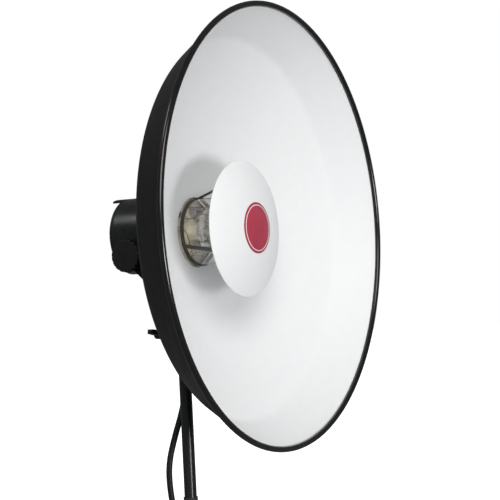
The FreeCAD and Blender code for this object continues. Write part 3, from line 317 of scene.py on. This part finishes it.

# %% [markdown]
# ## The cord as a rubber tube
# The cord is a mesh and not a bare curve: a round tube swept along its smooth line.

power_cord = hose("power_cord", route, CORD_R, None, None, sides=20)
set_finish(power_cord, "cord_jacket")
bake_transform(power_cord)
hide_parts("cord_tube", "cord_coil", "cord_tail")

# %% [markdown]
# ## The strain relief
# Where the cord leaves the body it is held in a moulded rubber sleeve, thick at the body and thin at its mouth,
# with rings cut into it so that it bends more and more towards the tip. One hose with a radius that changes
# along its length makes it in a single surface.

# %% Strain relief
RELIEF_START = 0.0480   # radius from the dish's axis, just inside the body
FLANGE_END = 0.0565
FLANGE_R = 0.0095
RELIEF_ROOT_R = 0.0085
RELIEF_TIP_R = 0.0052
GROOVES = 5
GROOVE_DEPTH = 0.0009
RELIEF_RINGS = 120


def relief_radius(reach):
    """The sleeve's radius at a distance from the dish's axis."""
    if reach < FLANGE_END:
        chamfer = max(0.0, reach - (FLANGE_END - 0.0008))
        return FLANGE_R - chamfer
    share = (reach - FLANGE_END) / (RELIEF_END - FLANGE_END)
    smooth = RELIEF_ROOT_R + (RELIEF_TIP_R - RELIEF_ROOT_R) * share
    wave = math.cos(2 * math.pi * GROOVES * share)
    groove = GROOVE_DEPTH * max(0.0, -wave) ** 0.6 if 0.04 < share < 0.96 else 0.0
    return smooth - groove


relief_steps = [RELIEF_START + (RELIEF_END - RELIEF_START) * k / RELIEF_RINGS for k in range(RELIEF_RINGS + 1)]
work = bmesh.new()
sweep(work, [under(GLAND_ANGLE, reach) for reach in relief_steps],
      lambda number: relief_radius(relief_steps[number]), 40)
strain_relief = piece("strain_relief", work, "lamp_head", "black_rubber")
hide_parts("cord_gland")

# %% [markdown]
# ## The strap round the coil
# A hook-and-loop strap goes once round the pole and the near side of the coil, and its end is pressed down on
# itself. Its line is a rounded outline: straight between corners, and a small arc round each corner. A flat
# rounded section swept along that line gives the strap, and a second short run outside it gives the free end.

# %% Coil strap
STRAP_R = 0.0056        # from the corners to the strap's middle
STRAP_THICK = 0.0014
STRAP_TALL = 0.0175
STRAP_INSET = 0.0008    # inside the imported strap's box
STRAP_WAVE = 0.0004     # how far the strap wanders up and down
STRAP_SAG = 0.0003      # its middle bulges outwards
tie_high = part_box("coil_tie")[1]
half_wide = tie_high.x - STRAP_R - STRAP_INSET
far_side = tie_high.y - STRAP_R - STRAP_INSET
strap_corners = [Vector((-0.0038, -0.0042)), Vector((0.0038, -0.0042)), Vector((half_wide, 0.013)),
                 Vector((half_wide, far_side)), Vector((-half_wide, far_side)), Vector((-half_wide, 0.013))]


def strap_line(radius):
    """Points round the corners at a distance outside them, counter-clockwise."""
    points = []
    count = len(strap_corners)
    for k, corner in enumerate(strap_corners):
        into = (corner - strap_corners[k - 1]).normalized()
        out = (strap_corners[(k + 1) % count] - corner).normalized()
        first = math.atan2(-into.x, into.y)
        last = math.atan2(-out.x, out.y)
        if last < first:
            last += 2 * math.pi
        for step in range(9):
            angle = first + (last - first) * step / 8
            points.append(corner + Vector((math.cos(angle), math.sin(angle))) * radius)
    return points


def strap_section(middle, outward, height):
    """A flat section with rounded edges, upright at a point of the line."""
    half = STRAP_THICK / 2
    ring = []
    for side, lift in ((-1, -0.96), (-1, -0.5), (-1, 0), (-1, 0.5), (-1, 0.96), (0, 1),
                       (1, 0.96), (1, 0.5), (1, 0), (1, -0.5), (1, -0.96), (0, -1)):
        sag = STRAP_SAG * (1 - lift * lift)
        spot = middle + outward * (side * half + sag)
        ring.append(Vector((spot.x, spot.y, height + lift * STRAP_TALL / 2)))
    return ring


def strap_run(work, points, closed):
    rings = []
    for k, point in enumerate(points):
        after = points[(k + 1) % len(points)] if closed or k + 1 < len(points) else point
        before = points[k - 1] if closed or k else point
        along = (after - before).normalized()
        outward = Vector((along.y, -along.x))
        height = coil_middle.z + STRAP_WAVE * math.sin(k * 0.7)
        rings.append([work.verts.new(co) for co in strap_section(point, outward, height)])
    join_rings(work, rings, closed=closed)
    if not closed:
        work.faces.new(reversed(rings[0]))
        work.faces.new(rings[-1])


work = bmesh.new()
strap_run(work, strap_line(STRAP_R), closed=True)
strap_run(work, strap_line(STRAP_R + STRAP_THICK + 0.0002)[18:30], closed=False)
coil_strap = piece("coil_strap", work, "yoke", "tie_fabric")
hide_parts("coil_tie")

nodes = frame["nodes"]

# %% [markdown]
# ## The dish
# A beauty dish is spun from sheet aluminium: a steep outer wall, a soft shoulder, and a long shallow bowl down
# to a hole for the lamp. Its rim is rolled over a wire. The outline of the inner face is enough to make it all,
# since the paint inside and the paint outside are two thin skins at two distances behind that line. Separate
# skins also give each side its own finish, which one shell with a single material would not.

# %% The outline of the dish
SHOULDER = Vector((0.2418, 0.0544))
SHOULDER_ROUND = 0.022
BOWL_START = Vector((0.2061, 0.0762))
SEAT_FLAT = 0.026
HOLE_GAP = 0.0025

glass_low, glass_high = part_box("glass_dome")
GLASS_R = (glass_high.x - glass_low.x) / 2
HOLE_R = GLASS_R + HOLE_GAP
WALL_START = Vector((DISH_R - 1.5 * BEAD_R, 0.5 * BEAD_R))


def arc_points(centre, start, end, count):
    """Points on the short way round from start to end about a centre."""
    first = math.atan2(start.y - centre.y, start.x - centre.x)
    last = math.atan2(end.y - centre.y, end.x - centre.x)
    swing = (last - first + math.pi) % (2 * math.pi) - math.pi
    radius = (start - centre).length
    return [centre + Vector((math.cos(first + swing * k / count), math.sin(first + swing * k / count))) * radius
            for k in range(count + 1)]


def rounded_corner(before, corner, after, radius, count):
    a, b = (before - corner).normalized(), (after - corner).normalized()
    half = a.angle(b) / 2
    centre = corner + (a + b).normalized() * radius / math.sin(half)
    reach = radius / math.tan(half)
    return arc_points(centre, corner + a * reach, corner + b * reach, count)


def leaving_arc(start, heading, end, count):
    """The arc that leaves start along heading and reaches end."""
    side = Vector((-heading.y, heading.x))
    chord = end - start
    centre = start + side * (chord.length_squared / (2 * chord.dot(side)))
    return arc_points(centre, start, end, count)


shoulder_points = rounded_corner(WALL_START, SHOULDER, BOWL_START, SHOULDER_ROUND, 16)
bowl_heading = (BOWL_START - shoulder_points[-1]).normalized()
bowl_end = Vector((HOLE_R + SEAT_FLAT, BOWL_DEPTH))
inner_line = ([WALL_START + (shoulder_points[0] - WALL_START) * k / 8 for k in range(8)] + shoulder_points
              + leaving_arc(BOWL_START, bowl_heading, bowl_end, 36) + [Vector((HOLE_R, BOWL_DEPTH))])
print(len(inner_line), "points from the rim to the hole")

# %% [markdown]
# ## Two skins and a rolled rim
# The white coat stands a hair in front of the sheet's inner face and the black coat a hair behind its outer
# face. The rim is a plain ring of round section, black like the outside.

# %% Dish skins and rim
COAT = 0.0002


def skin_outline(line, near, far):
    """A closed outline between two distances behind a line."""
    fronts, backs = [], []
    for k, point in enumerate(line):
        after, before = line[min(k + 1, len(line) - 1)], line[max(k - 1, 0)]
        along = (after - before).normalized()
        behind = Vector((along.y, -along.x))
        fronts.append(point + behind * near)
        backs.append(point + behind * far)
    return fronts + backs[::-1]


def round_section(radius, depth, section_r, count=20):
    return [(radius + section_r * math.cos(2 * math.pi * k / count),
             depth + section_r * math.sin(2 * math.pi * k / count)) for k in range(count)]


dish_inner = lathe("dish_inner", skin_outline(inner_line, -COAT, SHEET / 2 - COAT / 4), "dish",
                   "white_enamel", steps=240)
dish_outer = lathe("dish_outer", skin_outline(inner_line, SHEET / 2 + COAT / 4, SHEET), "dish",
                   "black_enamel", steps=240)
dish_rim = lathe("dish_rim", round_section(DISH_R - BEAD_R, 0.0, BEAD_R), "dish", "black_enamel", steps=240)
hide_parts("reflector_dish")
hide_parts("reflector_dish")
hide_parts("reflector_dish")

# %% [markdown]
# ## The deflector
# The deflector is a shallow dome pressed from the same sheet, with its edge turned back into a small lip. Its
# front is part of a large sphere, so a few numbers from the model's box give the whole curve: the dome's radius
# and its rise give the sphere.

# %% Deflector and its badge
disc_low, disc_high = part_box("deflector_dome")
DISC_R = (disc_high.x - disc_low.x) / 2
DISC_FRONT = disc_low.y - RIM_Y
DISC_RISE = 0.019
LIP_R = 0.0013
SPHERE_R = (DISC_R ** 2 + DISC_RISE ** 2) / (2 * DISC_RISE)


def dome_point(radius, inset):
    """A point of the dome at a distance inside its front face."""
    return Vector((radius, DISC_FRONT + SPHERE_R - math.sqrt((SPHERE_R - inset) ** 2 - radius ** 2)))


def dome_outline(first_r, last_r, front, back, count):
    radii = [first_r + (last_r - first_r) * k / count for k in range(count + 1)]
    return [dome_point(r, front) for r in radii] + [dome_point(r, back) for r in reversed(radii)]


lip_middle = dome_point(DISC_R - LIP_R, LIP_R)
lip = [lip_middle + Vector((math.cos(a), math.sin(a))) * LIP_R
       for a in (math.radians(-75 + 22.5 * k) for k in range(12))]
radii = [(DISC_R - 2.2 * LIP_R) * k / 40 for k in range(41)]
disc_outline = ([dome_point(r, 0.0) for r in radii] + lip + [dome_point(r, SHEET) for r in reversed(radii)])
deflector_disc = lathe("deflector_disc", disc_outline, "deflector", "white_enamel", steps=180)
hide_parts("deflector_dome")

BADGE_R = 0.0324
BADGE_PROUD = 0.00035
RING_IN, RING_OUT = 0.0283, 0.0293
badge_disc = lathe("badge_disc", dome_outline(0.0, BADGE_R, -BADGE_PROUD, 0.0001, 16), "deflector",
                   "red_print", steps=120)
badge_ring = lathe("badge_ring", dome_outline(RING_IN, RING_OUT, -BADGE_PROUD - 0.0002, -BADGE_PROUD + 0.0001, 2),
                   "deflector", "white_enamel", steps=120)
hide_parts("deflector_badge")

# %% [markdown]
# ## The glass
# The cover is a thick clear beaker with a rounded crown. Real glass needs two surfaces a wall apart, because
# what makes it read as glass is light bending at both. Its open end has a small fire-polished bead.

# %% Glass cover
GLASS_WALL = 0.0022
CROWN_R = 0.060
CROWN_ROUND = 0.018
GLASS_FRONT = glass_low.y - RIM_Y
GLASS_BACK = glass_high.y - RIM_Y
crown_tilt = math.asin((GLASS_R - CROWN_ROUND) / (CROWN_R - CROWN_ROUND))
corner_depth = GLASS_FRONT + CROWN_R - (CROWN_R - CROWN_ROUND) * math.cos(crown_tilt)


def glass_line(inset):
    """The glass from the middle of its crown to its open end, at a distance inside its outer face."""
    points = []
    for k in range(25):
        angle = crown_tilt * k / 24
        reach = CROWN_R - inset
        points.append(Vector((reach * math.sin(angle), GLASS_FRONT + CROWN_R - reach * math.cos(angle))))
    for k in range(1, 13):
        angle = crown_tilt + (math.pi / 2 - crown_tilt) * k / 12
        reach = CROWN_ROUND - inset
        points.append(Vector((GLASS_R - CROWN_ROUND + reach * math.sin(angle),
                              corner_depth - reach * math.cos(angle))))
    points.append(Vector((GLASS_R - inset, GLASS_BACK - GLASS_WALL / 2)))
    return points


lip_turn = [Vector((GLASS_R - GLASS_WALL / 2 + GLASS_WALL / 2 * math.cos(a),
                    GLASS_BACK - GLASS_WALL / 2 + GLASS_WALL / 2 * math.sin(a)))
            for a in (math.pi * k / 8 for k in range(1, 8))]
glass_cover = lathe("glass_cover", glass_line(0.0) + lip_turn + glass_line(GLASS_WALL)[::-1], "lamp_head",
                    "clear_glass", steps=120)
glass_cover.visible_shadow = False
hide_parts("glass_dome")

# %% [markdown]
# ## Wires behind the glass
# Through the glass one sees more than the tube: short wires run from the terminals to the tube's feet, and the
# halogen capsule has a coiled filament. They are thin hoses along smooth lines, the same way as the cord.

# %% Lamp wires and filament
WIRE_R = 0.0008
FILAMENT_WIRE_R = 0.0003
FILAMENT_R = 0.0022
FILAMENT_TURNS = 10
FILAMENT_POINTS = 160
FILAMENT_BACK = 0.014   # behind the capsule's tip
FILAMENT_LENGTH = 0.010
PLATE_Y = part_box("base_plate")[0].y
filament_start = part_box("lamp_capsule")[0].y + FILAMENT_BACK


def inside(x, z, proud):
    """A point in front of the base plate, from the dish's axis."""
    return Vector((x, PLATE_Y - proud, AXIS_Z + z))


wire_routes = {
    "lead_left": [inside(-0.030, 0.004, 0.004), inside(-0.031, 0.002, 0.011), inside(-0.028, -0.010, 0.013),
                  inside(-0.020, -0.022, 0.011), inside(-0.0105, -0.0300, 0.010), inside(-0.0102, -0.0290, 0.006)],
    "lead_right": [inside(0.013, 0.016, 0.004), inside(0.018, 0.014, 0.012), inside(0.030, 0.002, 0.014),
                   inside(0.026, -0.016, 0.012), inside(0.0110, -0.0300, 0.010), inside(0.0102, -0.0290, 0.006)],
    "lead_lamp": [inside(-0.013, 0.016, 0.004), inside(-0.014, 0.017, 0.012), inside(-0.004, 0.022, 0.014),
                  inside(0.003, 0.024, 0.012), inside(0.005, 0.0265, 0.0095)],
}
lamp_wires = []
for name, points in wire_routes.items():
    lamp_wires.append(hose(name, line_points(cord_line(name + "_line", points)), WIRE_R, "lamp_head",
                           "copper", sides=10))

filament_points = []
for k in range(FILAMENT_POINTS + 1):
    share = k / FILAMENT_POINTS
    angle = 2 * math.pi * FILAMENT_TURNS * share
    filament_points.append(Vector((FILAMENT_R * math.cos(angle), filament_start + FILAMENT_LENGTH * share,
                                   AXIS_Z + FILAMENT_R * math.sin(angle))))
filament = hose("filament", filament_points, FILAMENT_WIRE_R, "lamp_head", "steel", sides=6)

# %% [markdown]
# ## Finishes
# A believable finish is never one flat value. Under a lamp, paint shows a little mottling, its gloss changes
# from spot to spot, and its skin has a fine relief. Each finish here is one Principled shader with up to three
# patterns on it: one for colour, one for gloss and one for relief. Edges of machined and moulded parts catch
# the light because they are never knife sharp, and a Bevel node gives that without more faces.

# %% Helpers for finishes
def new_finish(name, colour, roughness, metallic=0.0, **more):
    finish = bpy.data.materials.new(name)
    finish.use_nodes = True
    shader = finish.node_tree.nodes["Principled BSDF"]
    shader.inputs["Base Color"].default_value = (*colour, 1.0)
    shader.inputs["Roughness"].default_value = roughness
    shader.inputs["Metallic"].default_value = metallic
    for socket, value in more.items():
        shader.inputs[socket.replace("_", " ")].default_value = value
    return finish


def add_node(finish, kind, **inputs):
    node = finish.node_tree.nodes.new("ShaderNode" + kind)
    for socket, value in inputs.items():
        node.inputs[socket.replace("_", " ")].default_value = value
    return node


def wire(finish, source, target):
    finish.node_tree.links.new(source, target)


def shader_of(finish):
    return finish.node_tree.nodes["Principled BSDF"]


def speckle(finish, scale, detail=3.0, stretch=(1.0, 1.0, 1.0)):
    """Noise fixed to the object, from 0 to 1. Scale is in spots a metre, and stretch changes it by axis."""
    place = add_node(finish, "TexCoord")
    squeezed = add_node(finish, "Mapping", Scale=stretch)
    noise = add_node(finish, "TexNoise", Scale=scale, Detail=detail)
    wire(finish, place.outputs["Object"], squeezed.inputs["Vector"])
    wire(finish, squeezed.outputs["Vector"], noise.inputs["Vector"])
    return noise.outputs["Fac"]


def colour_by(finish, pattern, dark, light, start=0.35, end=0.65):
    ramp = add_node(finish, "ValToRGB")
    ramp.color_ramp.elements[0].position = start
    ramp.color_ramp.elements[0].color = (*dark, 1.0)
    ramp.color_ramp.elements[1].position = end
    ramp.color_ramp.elements[1].color = (*light, 1.0)
    wire(finish, pattern, ramp.inputs["Fac"])
    wire(finish, ramp.outputs["Color"], shader_of(finish).inputs["Base Color"])


def gloss_by(finish, pattern, low, high):
    spread = add_node(finish, "MapRange", From_Min=0.3, From_Max=0.7, To_Min=low, To_Max=high)
    wire(finish, pattern, spread.inputs["Value"])
    wire(finish, spread.outputs["Result"], shader_of(finish).inputs["Roughness"])


def relief_by(finish, pattern, height, edge=0.0):
    """Raises the surface by a pattern, height in metres, with edges rounded over by a radius."""
    bump = add_node(finish, "Bump", Strength=1.0, Distance=height)
    wire(finish, pattern, bump.inputs["Height"])
    if edge:
        rounded = add_node(finish, "Bevel", Radius=edge)
        wire(finish, rounded.outputs["Normal"], bump.inputs["Normal"])
    wire(finish, bump.outputs["Normal"], shader_of(finish).inputs["Normal"])


finishes = {}
print("helpers for finishes ready")

# %% [markdown]
# ## Enamels
# Most of the object is sprayed metal. The black coats are slightly textured and satin, the body's black has a
# green cast, and the white coat in the dish is matt so that it scatters light evenly. Tall parts such as the
# pole also carry faint streaks along their length from being slid in and out of clamps.

# %% Enamels
def enamel(slot, dark, light, gloss, grain, height, stretch=(1.0, 1.0, 1.0), edge=0.0004, shine=0.30):
    finish = new_finish(slot, light, gloss[0], Specular_IOR_Level=shine)
    colour_by(finish, speckle(finish, grain / 12, 4.0, stretch), dark, light)
    gloss_by(finish, speckle(finish, grain / 30, 3.0, stretch), *gloss)
    relief_by(finish, speckle(finish, grain, 2.0), height, edge)
    finishes[slot] = finish
    return finish


enamel("black_enamel", (0.0040, 0.0036, 0.0040), (0.0062, 0.0056, 0.0061), (0.36, 0.46), 1500, 0.00004,
       shine=0.20)
enamel("rim_enamel", (0.0060, 0.0056, 0.0060), (0.0085, 0.0080, 0.0085), (0.14, 0.20), 1200, 0.00001, shine=0.48)
enamel("body_enamel", (0.0060, 0.0090, 0.0085), (0.0095, 0.0135, 0.0125), (0.24, 0.34), 1800, 0.00003, shine=0.45)
enamel("pole_enamel", (0.0085, 0.0100, 0.0095), (0.0140, 0.0165, 0.0160), (0.22, 0.34), 2200, 0.00002,
       (1.0, 1.0, 0.06), shine=0.34)
enamel("black_casting", (0.0060, 0.0060, 0.0066), (0.0095, 0.0095, 0.0100), (0.40, 0.52), 1100, 0.00006)
enamel("white_enamel", (0.752, 0.762, 0.774), (0.764, 0.774, 0.786), (0.50, 0.54), 900, 0.000004, edge=0.0002)
print(len(finishes), "enamels")

# %% [markdown]
# ## Plastics, rubber and print
# Moulded parts have a finer, denser grain than paint, and rubber hardly shines at all. The cord's jacket is in
# between: a smooth rubber that takes a long soft highlight. The badge is a printed disc under clear lacquer.

# %% Plastics and rubber
def moulded(slot, dark, light, gloss, grain=1600, height=0.00005, edge=0.0005, **more):
    finish = new_finish(slot, light, gloss[0], **more)
    colour_by(finish, speckle(finish, grain / 20, 4.0), dark, light)
    gloss_by(finish, speckle(finish, grain / 6, 2.0), *gloss)
    relief_by(finish, speckle(finish, grain, 3.0), height, edge)
    finishes[slot] = finish
    return finish


moulded("black_plastic", (0.0070, 0.0070, 0.0076), (0.0110, 0.0110, 0.0118), (0.44, 0.56),
        Specular_IOR_Level=0.30)
moulded("switch_black", (0.0100, 0.0100, 0.0100), (0.0140, 0.0140, 0.0145), (0.20, 0.28), height=0.00001)
moulded("grey_plastic", (0.1900, 0.1950, 0.2050), (0.2500, 0.2550, 0.2650), (0.45, 0.60))
moulded("nylon", (0.5200, 0.5000, 0.4400), (0.6000, 0.5800, 0.5200), (0.40, 0.50), height=0.00002)
moulded("black_rubber", (0.0140, 0.0140, 0.0150), (0.0240, 0.0240, 0.0250), (0.60, 0.75), 1200, 0.00006)
moulded("cord_jacket", (0.0090, 0.0100, 0.0115), (0.0150, 0.0160, 0.0175), (0.40, 0.50), 700, 0.00006, edge=0.0,
        Specular_IOR_Level=0.20)
moulded("ceramic", (0.5900, 0.5500, 0.4400), (0.7200, 0.6800, 0.5700), (0.42, 0.58), 800, 0.00004)
moulded("board_green", (0.0120, 0.0700, 0.0300), (0.0220, 0.1100, 0.0500), (0.30, 0.42), 500, 0.00003)
moulded("lacquer_red", (0.2000, 0.0180, 0.0120), (0.2800, 0.0300, 0.0200), (0.16, 0.26), 1500, 0.00005)
moulded("red_print", (0.3700, 0.0300, 0.0600), (0.4200, 0.0380, 0.0720), (0.34, 0.42), 900, 0.00001, edge=0.0,
        Coat_Weight=0.35, Coat_Roughness=0.12)
print(len(finishes), "finishes so far")

# %% [markdown]
# ## Bare metals
# Turned, drawn and plated metals differ in the marks they carry. A lathe leaves fine rings, so the pattern is
# squeezed to change only along the axis. Wire and plated screws get small even mottling.

# %% Metals
TURNED = (0.03, 1.0, 0.03)
EVEN = (1.0, 1.0, 1.0)


def metal(slot, dark, light, gloss, marks=EVEN, grain=1800, metallic=1.0, height=0.00001):
    finish = new_finish(slot, light, gloss[0], metallic)
    colour_by(finish, speckle(finish, grain / 4, 3.0, marks), dark, light)
    gloss_by(finish, speckle(finish, grain, 2.0, marks), *gloss)
    relief_by(finish, speckle(finish, grain, 2.0, marks), height, 0.0003)
    finishes[slot] = finish


metal("nickel", (0.600, 0.585, 0.550), (0.720, 0.705, 0.670), (0.18, 0.30))
metal("steel", (0.440, 0.440, 0.450), (0.560, 0.560, 0.570), (0.28, 0.42))
metal("dark_spring_steel", (0.040, 0.036, 0.030), (0.085, 0.078, 0.066), (0.32, 0.48), metallic=0.7)
metal("aluminium", (0.620, 0.620, 0.630), (0.740, 0.740, 0.750), (0.24, 0.38), TURNED)
metal("brass", (0.600, 0.430, 0.170), (0.740, 0.560, 0.250), (0.22, 0.34))
metal("copper", (0.300, 0.220, 0.165), (0.420, 0.315, 0.240), (0.34, 0.48))
print(len(finishes), "finishes so far")

# %% [markdown]
# ## Glass and quartz
# Clear glass is nearly all transmission: what makes it visible is its slight tint, its reflections and a faint
# film that softens them in patches. The flash tube is quartz, a little cloudy from use.

# %% Glass
def clear(slot, tint, gloss, ior, through):
    finish = new_finish(slot, tint, gloss[0], IOR=ior, Transmission_Weight=through)
    gloss_by(finish, speckle(finish, 60, 4.0), *gloss)
    colour_by(finish, speckle(finish, 45, 3.0), [0.985 * c for c in tint], tint)
    finishes[slot] = finish


clear("clear_glass", (0.985, 0.975, 0.940), (0.005, 0.035), 1.47, 1.0)
clear("quartz", (0.800, 0.830, 0.860), (0.08, 0.16), 1.46, 0.72)

# %% [markdown]
# ## Woven strap
# The strap is a close weave. Two sets of bands at right angles, one up the strap and one round it, are laid
# over each other to raise the threads, and a little fuzz breaks up the regular look.

# %% Strap weave
strap_weave = new_finish("tie_fabric", (0.02, 0.02, 0.022), 0.9, Sheen_Weight=0.25, Sheen_Roughness=0.5)
strap_place = add_node(strap_weave, "TexCoord")
threads = []
for direction in ("X", "Z"):
    band = add_node(strap_weave, "TexWave", Scale=520.0, Distortion=0.6, Detail=1.0)
    band.bands_direction = direction
    wire(strap_weave, strap_place.outputs["Object"], band.inputs["Vector"])
    threads.append(band.outputs["Fac"])
crossing = add_node(strap_weave, "Math")
crossing.operation = "MAXIMUM"
wire(strap_weave, threads[0], crossing.inputs[0])
wire(strap_weave, threads[1], crossing.inputs[1])
colour_by(strap_weave, crossing.outputs["Value"], (0.010, 0.010, 0.011), (0.030, 0.030, 0.033), 0.3, 0.9)
relief_by(strap_weave, crossing.outputs["Value"], 0.00020)
finishes["tie_fabric"] = strap_weave

# %% [markdown]
# ## Putting the finishes on
# The record names a material slot for every part, and each new piece names its own, so one loop dresses them
# all. A part whose slot had no finish would stop the script here.

# %% Dress every part
slot_of = {row["node"]: row["material_slot"] for row in frame["record"]["subparts"]}
for name, part in nodes.items():
    for material_slot in part.material_slots:
        material_slot.material = finishes[slot_of[name]]

new_pieces = [power_cord, strain_relief, coil_strap, dish_inner, dish_outer, dish_rim, deflector_disc,
              badge_disc, badge_ring, glass_cover, filament] + lamp_wires
for thing in new_pieces:
    # the rolled rim is in the dish's black slot, with a glossier coat of its own
    finish_name = "rim_enamel" if thing == dish_rim else thing["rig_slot"]
    thing.data.materials.append(finishes[finish_name])
print(len(nodes), "parts and", len(new_pieces), "new pieces dressed")

# %% [markdown]
# ## A white floor
# The setting is a bright white sweep, so the floor glows as brightly as the surround and has no horizon. It is
# left out of reflections and of bounced light, or it would wash out the black paint from below.

# %% Floor
FLOOR_HALF = 14.0
FLOOR_DROP = 0.0005
FLOOR_GLOW = 1.0
work = bmesh.new()
corners = [(-FLOOR_HALF, -FLOOR_HALF), (FLOOR_HALF, -FLOOR_HALF),
           (FLOOR_HALF, FLOOR_HALF), (-FLOOR_HALF, FLOOR_HALF)]
work.faces.new([work.verts.new((x, y, cad_low.z - FLOOR_DROP)) for x, y in corners])
floor = piece("floor", work, None, None)
floor_paint = new_finish("floor_paint", (0.90, 0.90, 0.90), 0.9, Emission_Color=(1.0, 1.0, 1.0, 1.0),
                         Emission_Strength=FLOOR_GLOW)
floor.visible_glossy = False
floor.visible_diffuse = False
colour_by(floor_paint, speckle(floor_paint, 4.0), (0.89, 0.89, 0.89), (0.91, 0.91, 0.91))
floor.data.materials.append(floor_paint)

# %% [markdown]
# ## Surround and lamps
# The surround has three strengths: full white for the camera, less than half of that as fill on matt faces, and
# less again in reflections, since a real studio's walls fall away into the dark beside a white sweep. Three soft
# lamps do the rest. A large warm one, high on the camera's side, lights the far and lower parts of the bowl. One
# below the axis in front throws the deflector's shadow up and back. A small one above and behind draws the
# highlight along the lamp body.

# %% Surround and lamps
SURROUND_LIGHT = 0.40
SURROUND_GLEAM = 0.16
WARM = (1.0, 0.985, 0.955)
bpy.context.scene.view_settings.view_transform = "Standard"

world = bpy.data.worlds.new("surround")
bpy.context.scene.world = world
world.use_nodes = True
tree = world.node_tree
surround = tree.nodes["Background"]
surround.inputs["Color"].default_value = (1.0, 1.0, 1.0, 1.0)
seen = tree.nodes.new("ShaderNodeLightPath")
level = tree.nodes.new("ShaderNodeMapRange")
level.inputs["To Min"].default_value = SURROUND_LIGHT
level.inputs["To Max"].default_value = SURROUND_GLEAM
brighter = tree.nodes.new("ShaderNodeMath")
brighter.operation = "MAXIMUM"
tree.links.new(seen.outputs["Is Glossy Ray"], level.inputs["Value"])
tree.links.new(seen.outputs["Is Camera Ray"], brighter.inputs[0])
tree.links.new(level.outputs["Result"], brighter.inputs[1])
tree.links.new(brighter.outputs["Value"], surround.inputs["Strength"])


def soft_lamp(name, spot, target, size, power, colour=(1.0, 1.0, 1.0)):
    light = bpy.data.lights.new(name, "AREA")
    light.shape = "DISK"
    light.size = size
    light.energy = power
    light.color = colour
    lamp = bpy.data.objects.new(name, light)
    bpy.context.scene.collection.objects.link(lamp)
    aim = (Vector(target) - Vector(spot)).to_track_quat("-Z", "Y")
    lamp.matrix_world = Matrix.Translation(spot) @ aim.to_matrix().to_4x4()
    print(f"{name}: {power} W")


bowl_middle = (0.0, RIM_Y, AXIS_Z)
soft_lamp("key_lamp", (-2.2, -1.9, 1.9), bowl_middle, 2.0, 55, WARM)
soft_lamp("front_lamp", (-0.9, -2.5, 0.20), bowl_middle, 0.7, 30)
soft_lamp("top_lamp", (-1.1, 0.9, 2.0), (0.0, 0.0, AXIS_Z), 0.6, 6)
